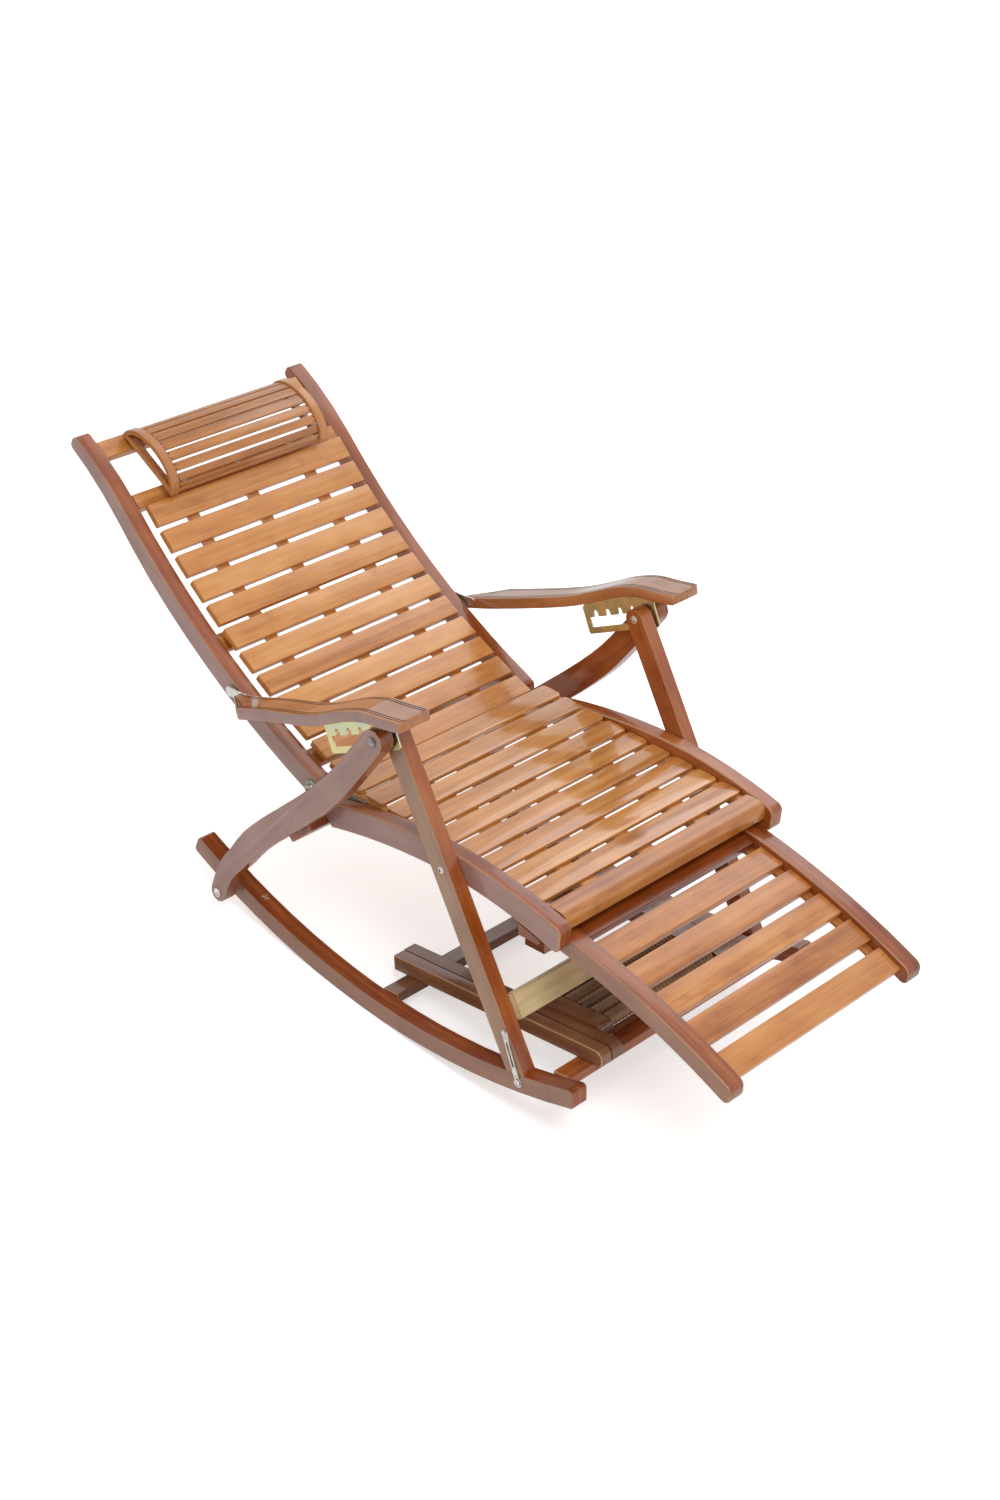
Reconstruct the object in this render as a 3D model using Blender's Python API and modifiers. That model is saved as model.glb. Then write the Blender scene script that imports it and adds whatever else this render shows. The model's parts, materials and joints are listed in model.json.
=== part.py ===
"""Rocking lounge chair of bamboo: rockers, S-shaped legs, slatted seat and back, armrests with
toothed brackets, sliding footrest and a foot massager with ribbed rollers.

All sizes are in metres. X runs across the chair, -Y is the foot end and Z is up. The chair is
modelled in its own level frame and then tipped back by rest_tilt, the angle at which it balances
on its rockers."""
import bpy
import bmesh
from math import sin, cos, tan, radians, degrees, atan2, hypot, sqrt, pi, tau, asin
from mathutils import Vector, Matrix

# General
gap = 0.0003                    # between pieces that touch
rest_tilt = radians(8.6)        # how far the chair leans back at rest

# Lanes across the chair, half widths counted from its middle
seat_half = 0.2225              # half width of the seat panel
rail_t = 0.027                  # seat rail thickness
leg_t = 0.025                   # thickness of the front and the rear legs
rocker_t = 0.030
plate_t = 0.0025                # armrest bracket sheet
lane_gap = 0.0035               # between the front leg, the bracket and the rear leg
back_half = seat_half + 0.0165  # half width over the back rails
back_rail_t = 0.028
rail_in = seat_half + 0.0005
rail_out = rail_in + rail_t
fleg_in = rail_out + 0.0005
fleg_out = fleg_in + leg_t
plate_in = fleg_out + lane_gap
plate_out = plate_in + plate_t
rleg_in = plate_out + lane_gap + 0.0005
rleg_out = rleg_in + leg_t
rocker_out = fleg_out
rocker_in = rocker_out - rocker_t
back_in = back_half - back_rail_t

# Rockers: concentric arcs
rocker_y, rocker_z = -0.082, 0.712      # centre of the rocker's arc
rocker_r = 1.125
rocker_h = 0.030
rocker_front, rocker_rear = -0.385, 0.445

# Pivots, side view (y, z)
cross_pivot = (-0.021, 0.1013)          # front leg, bracket and rear leg
recline_pivot = (0.195, -0.084)
foot_top_r, foot_crown = 1.258, -0.109  # the footrest's arc and its highest point
arm_pivot = (0.372, 0.018)
rocker_pivot = (0.349, -0.308)
slide_centre = (-0.054, foot_crown - foot_top_r)    # the footrest slides round this centre
pin_r = 0.004
run = 0.0004                            # running clearance round a pin

# Legs
fleg_w = 0.034
fleg_dir = (-0.4727, -0.8812)
rleg_line = [cross_pivot, (0.0406, 0.0225), (0.082, -0.024), (0.1409, -0.0779),
             (0.2119, -0.1369), (0.262, -0.182), (0.297, -0.2238), (0.3269, -0.2592), rocker_pivot]
rleg_width = [0.040, 0.041, 0.043, 0.044, 0.044, 0.042, 0.038, 0.034, 0.032]
stretcher_w, stretcher_t = 0.060, 0.018
stretcher_at, stretcher_tilt = (0.175, -0.1365), radians(-40.5)
kick_w, kick_t = 0.042, 0.015
kick_down, kick_out = 0.436, 0.0195     # along and in front of the front leg's middle line

# Seat
seat_crown_y, seat_crown = -0.080, -0.065       # highest point of the side rails
seat_r, seat_rear_r = 0.790, 1.12       # their top edge in front of it and behind it
seat_arc = (seat_crown_y, seat_crown - seat_r)
seat_rear_arc = (seat_crown_y, seat_crown - seat_rear_r)
seat_rail_h = 0.042
seat_front = -0.333
rail_end_y, rail_nose_z, rail_foot_y = 0.150, -0.104, 0.140     # rear end of the side rails
slat_t = 0.012
seat_rear, seat_top = 0.135, -0.0604    # a point of the slats' top plane
seat_slope = 0.084
seat_slats = 10
seat_pitch = 0.047
seat_slat_w = 0.0395
seat_slat_rear = 0.143                  # rear edge of the last slat
ledger_w, ledger_h = 0.012, 0.014
batten_w, batten_t = 0.030, 0.012
batten_x = 0.125
knee_w = 0.034
knee_top, knee_bottom = -0.0975, -0.1305

# Footrest
foot_rail_h, foot_rail_t = 0.030, 0.031
foot_bottom_r, foot_slat_r = foot_top_r - foot_rail_h, foot_top_r - 0.008
foot_rail_out = seat_half - 0.0025
foot_rail_in = foot_rail_out - foot_rail_t
cleat_w, cleat_h = 0.014, 0.0095
foot_front, foot_rear = -0.625, -0.250
foot_slats = 6
foot_pitch = 0.0566
foot_slat_w = 0.045
foot_slide = 11.5                       # degrees round slide_centre
guide_front, guide_rear, guide_bottom = -0.290, -0.252, -0.1695
guide_block, guide_hang = -0.1465, 0.012         # underside of its end blocks, width of its hangers

# Back: the slats' front face follows a hollow arc and then a full one
back_start = (0.154, -0.067)
back_slope = radians(23.5)
back_r1, back_len1 = 1.30, 0.547
back_r2, back_len2 = 0.60, 0.165
back_drop = 0.015                       # rail edge behind the slats' face
back_rail_d, back_rail_tip = 0.034, 0.024
back_slats = 12
back_pitch = 0.0465
back_slat_w = 0.038
back_slat_half = back_half - 0.035
back_bars, back_bar_t = ((0.0555, 0.0865), (0.276, 0.307)), 0.0125    # crossbars behind the battens
neck_bar = (0.552, 0.5775)              # the crossbar above the slats
head_bar, head_bar_drop, head_bar_t = (0.6535, 0.6865), 0.017, 0.016    # the one behind the headrest
recline_range = 37.0
arm_share = 0.22                        # part of the back's turn that the armrest keeps

# Headrest
head_at = (0.645, 0.292)
head_slope = radians(31.7)
head_half, head_len, head_high = 0.165, 0.068, 0.043
head_slats = 9

# Armrests
arm_in, arm_out = fleg_in + 0.0085, rleg_out + 0.0125
arm_rear_in, arm_rear_out = back_half + 0.0072, back_half + 0.061
arm_curves = (0.2, 0.15, 0.10)          # radii of the armrest's edges in plan
arm_line = [(-0.0905, 0.153), (-0.053, 0.1475), (-0.012, 0.1425), (0.0305, 0.128), (0.0735, 0.1065),
            (0.1175, 0.086), (0.1625, 0.070), (0.208, 0.0565), (0.254, 0.0455), (0.295, 0.037)]
arm_t = 0.017
arm_rear_t = 0.019

# Toothed bracket below the armrest, along the slot direction u with the normal n
slot_u, slot_n = (-0.9207, 0.3903), (0.3903, 0.9207)
slot_bottom, tooth_tip, notch_top = 0.0729, 0.0896, 0.1008
notch_pitch, notch_w, notches = 0.0275, 0.0095, 5
bracket_rear, bracket_front = 0.0260, 0.0225    # plate beyond the outer notches
slot_rear_gap, slot_front_gap = 0.0105, 0.0100
bracket_rear_n, bracket_front_n = 0.108, 0.096
flange_y0, flange_y1 = -0.038, 0.109
bar_h = 0.0105
strap_t = 0.003

# Base
bar_h0 = 0.026
bar_rear, bar_front = (0.065, -0.377), (-0.370, -0.3485)    # underside of the long bars
bar_w = 0.023
bar_out_x = (rocker_in - 0.0715, rocker_in - 0.0715 + bar_w)
bar_in_x = (rocker_in - 0.0955, rocker_in - 0.0955 + bar_w)
cross_w, cross_t = 0.033, 0.016
cross_rear_y, cross_front_y = 0.0233, -0.335
roller_n, roller_pitch, roller_first = 5, 0.0262, -0.205
cheek_in = bar_in_x[0] - 0.0285
roller_r, roller_groove, roller_half = 0.0113, 0.0088, cheek_in - 0.0035
roller_ribs = 8

# Lock hook
hook_top, hook_stud = (-0.251, -0.303), (-0.279, -0.377)
hook_t = 0.0025
hook_w, hook_ring = 0.0048, 0.0080   # half width of the strap, radius of its ring
stud_r = 0.003

for old in list(bpy.data.objects):
    bpy.data.objects.remove(old, do_unlink=True)
parts = bpy.data.collections.new("rocking_lounge_chair")
tools = bpy.data.collections.new("cutters")
bpy.context.scene.collection.children.link(parts)
bpy.context.scene.collection.children.link(tools)


def material(name, colour, rough, metal=0.0):
    mat = bpy.data.materials.new(name)
    mat.use_nodes = True
    node = mat.node_tree.nodes["Principled BSDF"]
    node.inputs["Base Color"].default_value = (*colour, 1.0)
    node.inputs["Roughness"].default_value = rough
    node.inputs["Metallic"].default_value = metal
    return mat


slat_wood = material("slat_bamboo", (0.50, 0.21, 0.065), 0.30)
frame_wood = material("frame_bamboo", (0.23, 0.075, 0.028), 0.28)
foot_wood = material("footrest_bamboo", (0.42, 0.15, 0.05), 0.30)
kick_wood = material("olive_bamboo", (0.33, 0.19, 0.06), 0.35)
roller_wood = material("roller_wood", (0.16, 0.075, 0.03), 0.5)
zinc = material("yellow_zinc", (0.60, 0.56, 0.30), 0.35, 1.0)
steel = material("bright_steel", (0.62, 0.61, 0.58), 0.3, 1.0)


# Plane geometry in the side view
def polar(c, r, a):
    return (c[0] + r * cos(a), c[1] + r * sin(a))


def arc(c, r, a0, a1, n):
    return [polar(c, r, a0 + (a1 - a0) * i / n) for i in range(n + 1)]


def circle(c, r, n=10):
    return [polar(c, r, tau * i / n) for i in range(n)]


def over(c, r, y, side=1):
    """The point of a circle above (or below) y."""
    return (y, c[1] + side * sqrt(r * r - (y - c[0]) ** 2))


def along(p, d, s, n=0.0):
    """s along the direction d from p, and n to its left."""
    return (p[0] + d[0] * s - d[1] * n, p[1] + d[1] * s + d[0] * n)


def rect(c, w, h, a=0.0):
    d = (cos(a), sin(a))
    return [along(c, d, sx * w / 2, sy * h / 2) for sx, sy in ((-1, -1), (1, -1), (1, 1), (-1, 1))]


def fillet(pts, radii, n=4):
    """Rounds the corners of a polygon: radii is one value or a dict of corner index to radius."""
    out = []
    for i, p in enumerate(pts):
        r = radii.get(i, 0) if isinstance(radii, dict) else radii
        if r <= 0:
            out.append(p)
            continue
        a, b, c = Vector(pts[i - 1]), Vector(p), Vector(pts[(i + 1) % len(pts)])
        u, v = (a - b), (c - b)
        la, lc = u.length, v.length
        u.normalize()
        v.normalize()
        half = u.angle(v) / 2
        t = min(r / tan(half), 0.49 * la, 0.49 * lc)
        rr = t * tan(half)
        m = b + (u + v).normalized() * (rr / sin(half))
        s, e = b + u * t - m, b + v * t - m
        a0 = atan2(s.y, s.x)
        da = (atan2(e.y, e.x) - a0 + pi) % tau - pi
        out += [polar(m, rr, a0 + da * k / n) for k in range(n + 1)]
    return out


def smooth(pts, n):
    """A smooth curve through the points, n steps between neighbours."""
    v = [Vector(p) for p in pts]
    v = [2 * v[0] - v[1]] + v + [2 * v[-1] - v[-2]]
    out = []
    for i in range(1, len(v) - 2):
        a, b, c, d = v[i - 1:i + 3]
        for k in range(n):
            t = k / n
            out.append(0.5 * (2 * b + (c - a) * t + (2 * a - 5 * b + 4 * c - d) * t * t
                              + (3 * b - a - 3 * c + d) * t * t * t))
    return [(p.x, p.y) for p in out + [v[-2]]]


def normals(line):
    out = []
    for i in range(len(line)):
        a, b = Vector(line[max(i - 1, 0)]), Vector(line[min(i + 1, len(line) - 1)])
        d = (b - a).normalized()
        out.append(Vector((-d.y, d.x)))
    return out


def shifted(line, by):
    """The curve moved sideways, to its left; by is a value or one value per point."""
    n = normals(line)
    by = by if isinstance(by, (list, tuple)) else [by] * len(line)
    return [(p[0] + m.x * b, p[1] + m.y * b) for p, m, b in zip(line, n, by)]


def ribbon(line, widths, n=4, cap=6):
    """A board that follows a line with half-round ends."""
    pts = smooth(line, n)
    w = []
    for i in range(len(line) - 1):
        w += [widths[i] + (widths[i + 1] - widths[i]) * k / n for k in range(n)]
    w.append(widths[-1])
    left, right = shifted(pts, [x / 2 for x in w]), shifted(pts, [-x / 2 for x in w])
    nn = normals(pts)
    a0, a1 = atan2(nn[0].y, nn[0].x), atan2(nn[-1].y, nn[-1].x)
    start = arc(pts[0], w[0] / 2, a0 + pi, a0, cap)[1:-1]
    end = arc(pts[-1], w[-1] / 2, a1, a1 - pi, cap)[1:-1]
    start = [polar(pts[0], w[0] / 2, a0 + pi - pi * k / cap) for k in range(1, cap)]
    return right[::-1] + start + left + end


# Solids
def bake(ob):
    """Puts an object's modifiers into its mesh."""
    bpy.context.view_layer.update()
    me = bpy.data.meshes.new_from_object(ob.evaluated_get(bpy.context.evaluated_depsgraph_get()))
    ob.modifiers.clear()
    ob.data = me
    return ob


def add(name, me, mat, at=(0, 0, 0)):
    ob = bpy.data.objects.new(name, me)
    ob.location = at
    if mat:
        me.materials.clear()
        me.materials.append(mat)
    parts.objects.link(ob)
    return ob


def bevel(ob, width, segments=1, angle=40):
    if width > 0:
        m = ob.modifiers.new("edges", 'BEVEL')
        m.width, m.segments, m.limit_method, m.angle_limit = width, segments, 'ANGLE', radians(angle)
    return ob


def finish(ob, angle=35):
    bake(ob)
    ob.data.shade_smooth()
    ob.data.set_sharp_from_angle(angle=radians(angle))
    return ob


def slab(name, outline, x0, x1, mat, edge=0.0015, holes=(), segments=1):
    """A flat piece from its side view, between x0 and x1."""
    cu = bpy.data.curves.new(name, 'CURVE')
    cu.dimensions, cu.fill_mode, cu.extrude = '2D', 'BOTH', abs(x1 - x0) / 2
    rings = [outline] + [h for h in holes]
    cy = sum(p[0] for p in outline) / len(outline)
    cz = sum(p[1] for p in outline) / len(outline)
    for ring in rings:
        sp = cu.splines.new('POLY')
        sp.points.add(len(ring) - 1)
        for p, q in zip(sp.points, ring):
            p.co = (q[0] - cy, q[1] - cz, 0, 1)
        sp.use_cyclic_u = True
    src = bpy.data.objects.new(name + "_outline", cu)
    src.rotation_euler = (pi / 2, 0, pi / 2)
    parts.objects.link(src)
    bpy.context.view_layer.update()
    me = bpy.data.meshes.new_from_object(src.evaluated_get(bpy.context.evaluated_depsgraph_get()))
    me.transform(src.matrix_world)
    bpy.data.objects.remove(src)
    bm = bmesh.new()
    bm.from_mesh(me)
    bmesh.ops.remove_doubles(bm, verts=bm.verts, dist=1e-6)
    bmesh.ops.dissolve_limit(bm, angle_limit=radians(0.1), verts=bm.verts, edges=bm.edges)
    bmesh.ops.recalc_face_normals(bm, faces=bm.faces)
    bm.to_mesh(me)
    bm.free()
    ob = add(name, me, mat, ((x0 + x1) / 2, cy, cz))
    return bevel(ob, edge, segments)


def box(name, centre, size, mat, tilt=0.0, edge=0.002, segments=1):
    bm = bmesh.new()
    bmesh.ops.create_cube(bm, size=1.0, matrix=Matrix.Diagonal((*size, 1.0)))
    me = bpy.data.meshes.new(name)
    bm.to_mesh(me)
    bm.free()
    ob = add(name, me, mat, centre)
    ob.rotation_euler = (tilt, 0, 0)
    return bevel(ob, edge, segments)


def turned(name, profile, at, mat, steps=14):
    """A turned piece along X. The profile is (x, radius) from its outer end inwards."""
    me = bpy.data.meshes.new(name)
    pts = [(r, 0, x) for x, r in profile]
    me.from_pydata(pts, [(i, i + 1) for i in range(len(pts) - 1)], [])
    ob = add(name, me, mat, (0, *at))
    ob.rotation_euler = (0, pi / 2, 0)
    m = ob.modifiers.new("turn", 'SCREW')
    m.steps = m.render_steps = steps
    m.use_merge_vertices, m.merge_threshold = True, 1e-5
    m.use_normal_calculate = False
    return ob


def unite(ob, *others, how='UNION'):
    """Joins (or cuts) meshes into one body."""
    for o in others:
        bake(o)
    bake(ob)
    for o in others:
        m = ob.modifiers.new("join", 'BOOLEAN')
        m.operation, m.object, m.solver = how, o, 'EXACT'
        bake(ob)
        bpy.data.objects.remove(o)
    return ob


def mirrored(ob, name):
    """The same piece on the other side of the chair."""
    bpy.context.view_layer.update()
    me = ob.data.copy()
    me.transform(ob.matrix_world)
    me.transform(Matrix.Diagonal((-1, 1, 1, 1)))
    me.flip_normals()
    loc = Vector((-ob.location.x, ob.location.y, ob.location.z))
    me.transform(Matrix.Translation(-loc))
    me.name = name
    other = bpy.data.objects.new(name, me)
    other.location = loc
    parts.objects.link(other)
    return other


def pair(ob):
    """Finishes a piece made on the left and adds its right twin."""
    finish(ob)
    base = ob.name
    ob.name = base + "_left"
    return ob, mirrored(ob, base + "_right")


groups = {"base": [], "seat": [], "back": [], "foot": []}


def put(group, *obs):
    groups[group] += [o for o in obs]


# Base
centre = (rocker_y, rocker_z)
down = -pi / 2 + rest_tilt                       # direction of the resting point
facet = radians(2.5)


def rocker_arc(r, a_from, a_to):
    """Facets of the rocker, one of them centred on the resting point."""
    ks = range(int((a_from - down) / facet) - 2, int((a_to - down) / facet) + 3)
    mids = [down + (k + 0.5) * facet for k in ks]
    return [polar(centre, r, a_from)] + [polar(centre, r, a) for a in mids
                                         if a_from + 0.004 < a < a_to - 0.004] + [polar(centre, r, a_to)]


a0 = -pi / 2 + asin((rocker_front - rocker_y) / rocker_r)
a1 = -pi / 2 + asin((rocker_rear - rocker_y) / rocker_r)
top_r = rocker_r - rocker_h
b0 = -pi / 2 + asin((rocker_front - rocker_y) / top_r)
low = rocker_arc(rocker_r, a0, a1)
high = rocker_arc(top_r, b0, a1 + 0.002)
outline = low + high[::-1]
outline = fillet(outline, {0: 0.003, len(low) - 1: 0.007, len(low): 0.007, len(outline) - 1: 0.012}, 3)
rocker = slab("rocker", outline, rocker_in, rocker_out, frame_wood, 0.002,
              [circle(rocker_pivot, pin_r + run), circle(hook_stud, stud_r + gap)])
put("base", *pair(rocker))

bar_d = Vector((bar_front[0] - bar_rear[0], bar_front[1] - bar_rear[1])).normalized()
bar_tilt = atan2(-bar_d.y, -bar_d.x)


def under_bar(y):
    return bar_rear[1] + (y - bar_rear[0]) * bar_d.y / bar_d.x


def crossbar(name, y, half, mat):
    c = along((y, under_bar(y)), (-bar_d.x, -bar_d.y), 0, -cross_t / 2 - gap)
    return finish(box(name, (0, *c), (2 * half, cross_w, cross_t), mat, bar_tilt, 0.0015))


put("base", crossbar("base_crossbar_rear", cross_rear_y, rocker_in - gap, frame_wood))
put("base", crossbar("base_crossbar_front", cross_front_y, rocker_in - gap, frame_wood))
u = (-bar_d.x, -bar_d.y)
side = [bar_front, bar_rear, along(bar_rear, u, 0, bar_h0), along(bar_front, u, 0, bar_h0)]
bar_side = fillet(side, {0: 0.007, 3: 0.016}, 4)
put("base", *pair(slab("base_bar", bar_side, *bar_out_x, frame_wood, 0.0015)))

axle_lift = bar_h0 - 0.006
roller_at = []
for i in range(roller_n):
    y = roller_first - i * roller_pitch
    roller_at.append(along((y, under_bar(y)), u, 0, axle_lift))
frame = slab("massager_frame", bar_side, *bar_in_x, frame_wood, 0)
y0, y1 = roller_at[0][0] + 0.017, roller_at[-1][0] - 0.017
cheek = [(y1, under_bar(y1) + 0.004), (y0, under_bar(y0) + 0.004),
         (y0, under_bar(y0) + bar_h0 + 0.003), (y1, under_bar(y1) + bar_h0 + 0.003)]
cheek = fillet(cheek, {2: 0.012, 3: 0.012, 0: 0.003, 1: 0.003}, 3)
cheek = slab("cheek", cheek, cheek_in, bar_in_x[0] + 0.001, frame_wood, 0,
             [circle(p, 0.0034, 8) for p in roller_at])
frame_r = mirrored(bake(frame), "frame_r")
cheek_r = mirrored(bake(cheek), "cheek_r")
ties = []
for y in (y0 - 0.0035, y1 + 0.0035):
    c = along((y, under_bar(y)), u, 0, 0.0085)
    ties.append(box("tie", (0, *c), (2 * cheek_in + 0.002, 0.006, 0.009), frame_wood, bar_tilt, 0))
put("base", finish(unite(frame, cheek, frame_r, cheek_r, *ties)))

rollers = []
for i, p in enumerate(roller_at):
    prof = [(roller_half + 0.009, 0.0), (roller_half + 0.009, 0.003), (roller_half, 0.003)]
    rib = 2 * roller_half / roller_ribs
    for k in range(roller_ribs):
        x = roller_half - k * rib
        prof += [(x - 0.30 * rib, roller_r), (x - 0.85 * rib, roller_groove)]
    prof[3:3] = [(roller_half, roller_groove)]
    prof += [(-roller_half, roller_groove), (-roller_half, 0.003), (-roller_half - 0.009, 0.003),
             (-roller_half - 0.009, 0.0)]
    rollers.append(finish(turned("massage_roller_%d" % (i + 1), prof, p, roller_wood, 8), 50))

stud = turned("lock_stud", [(rocker_out + 0.0058, 0), (rocker_out + 0.0058, 0.0045),
                            (rocker_out + 0.0048, 0.0058), (rocker_out + hook_t + 0.0012, 0.0058),
                            (rocker_out + hook_t + 0.0012, stud_r), (rocker_out - 0.018, stud_r),
                            (rocker_out - 0.018, 0)], hook_stud, steel, 12)
put("base", *pair(stud))
bolt = turned("rocker_bolt", [(rleg_out + 0.0048, 0), (rleg_out + 0.0042, 0.0045),
                              (rleg_out + 0.0018, 0.0080), (rleg_out + gap, 0.0080),
                              (rleg_out + gap, pin_r), (rleg_in - 0.001, pin_r),
                              (rleg_in - 0.001, 0.0095), (rocker_out + gap, 0.0095),
                              (rocker_out + gap, pin_r), (rocker_in + 0.001, pin_r),
                              (rocker_in + 0.001, 0)], rocker_pivot, steel, 12)
put("base", *pair(bolt))

# Legs
rear = ribbon(rleg_line, rleg_width, 2, 5)
rear_leg = slab("rear_leg", rear, rleg_in, rleg_out, frame_wood, 0.003,
                [circle(cross_pivot, pin_r + gap), circle(rocker_pivot, pin_r + run)])
put("seat", *pair(rear_leg))
c = stretcher_at
board = rect(c, stretcher_w, stretcher_t, stretcher_tilt)
put("seat", finish(slab("rear_stretcher", fillet(board, 0.002, 1), -rleg_in + gap, rleg_in - gap,
                        frame_wood, 0.0015)))


def foot_cut(off):
    """Where the front leg's edge meets the rocker's top."""
    r = top_r - gap
    p = along(cross_pivot, fleg_dir, 0, off)
    py, pz = p[0] - rocker_y, p[1] - rocker_z
    b = py * fleg_dir[0] + pz * fleg_dir[1]
    t = -b + sqrt(b * b - (py * py + pz * pz - r * r))
    return (p[0] + fleg_dir[0] * t, p[1] + fleg_dir[1] * t)


ca = atan2(fleg_dir[1], fleg_dir[0])
front = arc(cross_pivot, fleg_w / 2, ca + pi / 2, ca + 1.5 * pi, 7)
fa, fb = foot_cut(-fleg_w / 2), foot_cut(fleg_w / 2)
ang = [atan2(p[1] - rocker_z, p[0] - rocker_y) for p in (fa, fb)]
front += arc(centre, top_r - gap, ang[0], ang[1], 2)
front_leg = slab("front_leg", front, fleg_in, fleg_out, frame_wood, 0.002,
                 [circle(cross_pivot, pin_r + gap), circle(hook_top, 0.0028, 10)])
put("seat", *pair(front_leg))
kick_at = along(cross_pivot, fleg_dir, kick_down, -kick_out)
kick = rect(kick_at, kick_w, kick_t, ca)
put("seat", finish(slab("kick_board", fillet(kick, 0.002, 1), -fleg_in + gap, fleg_in - gap,
                        kick_wood, 0.0015)))
pin = turned("cross_pin", [(rleg_out + 0.0045, 0), (rleg_out + 0.0040, 0.0045),
                           (rleg_out + 0.0018, 0.0080), (rleg_out + gap, 0.0080),
                           (rleg_out + gap, pin_r), (fleg_in + 0.001, pin_r), (fleg_in + 0.001, 0)],
             cross_pivot, steel, 12)
put("seat", *pair(pin))

hd = Vector((hook_stud[0] - hook_top[0], hook_stud[1] - hook_top[1]))
hook_len = hd.length
hd.normalize()
ha = atan2(hd.y, hd.x)
slot_r = stud_r + 0.0006
mouth = atan2(sqrt(hook_ring ** 2 - slot_r ** 2), slot_r)
side_a = pi - asin(hook_w / hook_ring)


def on_hook(c, r, t0, t1, n):
    """An arc on the hook, angles from its long axis towards the rear."""
    return [along(hook_top, hd, c + r * cos(t0 + (t1 - t0) * k / n), r * sin(t0 + (t1 - t0) * k / n))
            for k in range(n + 1)]


strap = on_hook(0, hook_w, -pi / 2, -1.5 * pi, 6)
strap += [along(hook_top, hd, hook_len - slot_r, hook_w)]
strap += on_hook(hook_len, slot_r, pi, tau, 6)
strap += on_hook(hook_len, hook_ring, mouth, -side_a, 10)
h0, h1 = along(hook_top, hd, 0.016), along(hook_top, hd, hook_len - 0.026)
slot_hole = arc(h0, 0.0016, ha + pi / 2, ha + 1.5 * pi, 4) + arc(h1, 0.0016, ha - pi / 2, ha + pi / 2, 4)
hook = slab("lock_hook", strap, rocker_out + gap, rocker_out + gap + hook_t, steel, 0, [slot_hole])
screw = turned("screw", [(rocker_out + hook_t + 0.0022, 0), (rocker_out + hook_t + 0.0022, 0.0030),
                         (rocker_out + hook_t - 0.0008, 0.0042), (rocker_out + 0.0010, 0.0042),
                         (rocker_out + 0.0010, 0.0024), (rocker_out - 0.015, 0.0024),
                         (rocker_out - 0.015, 0)], hook_top, steel, 10)
hooks = pair(unite(hook, screw))

# Seat
sd = Vector((cos(stretcher_tilt), sin(stretcher_tilt)))
front_face = along(stretcher_at, sd, -stretcher_w / 2 - gap)


def face_y(z):
    """The y of the stretcher's front edge at the height z."""
    return front_face[0] - (z - front_face[1]) * sd.y / sd.x


def arc_a(c, r, y):
    return pi / 2 - asin((y - c[0]) / r)


low_r, low_rear_r = seat_r - seat_rail_h, seat_rear_r - seat_rail_h
zb = over(seat_rear_arc, low_rear_r, rail_foot_y)[1]
top = arc(seat_arc, seat_r, arc_a(seat_arc, seat_r, seat_front), pi / 2, 9)
top += arc(seat_rear_arc, seat_rear_r, pi / 2, arc_a(seat_rear_arc, seat_rear_r, rail_end_y), 6)[1:]
bot = arc(seat_rear_arc, low_rear_r, arc_a(seat_rear_arc, low_rear_r, face_y(zb)), pi / 2, 6)
bot += arc(seat_arc, low_r, pi / 2, arc_a(seat_arc, low_r, seat_front + 0.004), 9)[1:]
outline = top + [(face_y(rail_nose_z), rail_nose_z)] + bot
outline = fillet(outline, {0: 0.012, len(top) - 1: 0.010, len(top): 0.004, len(outline) - 1: 0.014}, 4)
put("seat", *pair(slab("seat_rail", outline, rail_in, rail_out, frame_wood, 0.0025)))


def slat_top(y):
    return seat_top - (seat_rear - y) * seat_slope


seat_a = atan2(seat_slope, 1)
first = box("seat_panel", (0, seat_slat_rear - seat_slat_w / 2,
                           slat_top(seat_slat_rear - seat_slat_w / 2) - slat_t / 2),
            (2 * seat_half, seat_slat_w, slat_t), slat_wood, seat_a, 0)
rest = []
for i in range(1, seat_slats):
    y = seat_slat_rear - seat_slat_w / 2 - i * seat_pitch
    rest.append(box("slat", (0, y, slat_top(y) - slat_t / 2), (2 * seat_half, seat_slat_w, slat_t),
                    slat_wood, seat_a, 0))
seat_front_y = seat_slat_rear - (seat_slats - 1) * seat_pitch - seat_slat_w
ledger_y0, ledger_y1 = seat_front_y + 0.006, seat_slat_rear - 0.013


def strip(name, y0, y1, x0, x1, t, mat):
    ym = (y0 + y1) / 2
    return box(name, ((x0 + x1) / 2, ym, slat_top(ym) - slat_t + 0.0006 - t / 2),
               (x1 - x0, (y1 - y0) / cos(seat_a), t), mat, seat_a, 0)


for s in (-1, 1):
    x = sorted((s * (seat_half - ledger_w), s * (seat_half - 0.0001)))
    rest.append(strip("ledger", ledger_y0, ledger_y1, *x, ledger_h, slat_wood))
for x in (-batten_x, 0, batten_x):
    rest.append(strip("batten", ledger_y0, ledger_y1, x - batten_w / 2, x + batten_w / 2, batten_t,
                      slat_wood))
put("seat", finish(unite(first, *rest)))
knee_y = seat_front_y - 0.001
knee = [(knee_y - knee_w, knee_bottom), (knee_y, knee_bottom), (knee_y, knee_top),
        (knee_y - knee_w, knee_top)]
put("seat", finish(slab("knee_roll", fillet(knee, {0: 0.011, 3: 0.014, 1: 0.002, 2: 0.002}, 5),
                        -rail_in + gap, rail_in - gap, frame_wood, 0.0015)))

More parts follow.
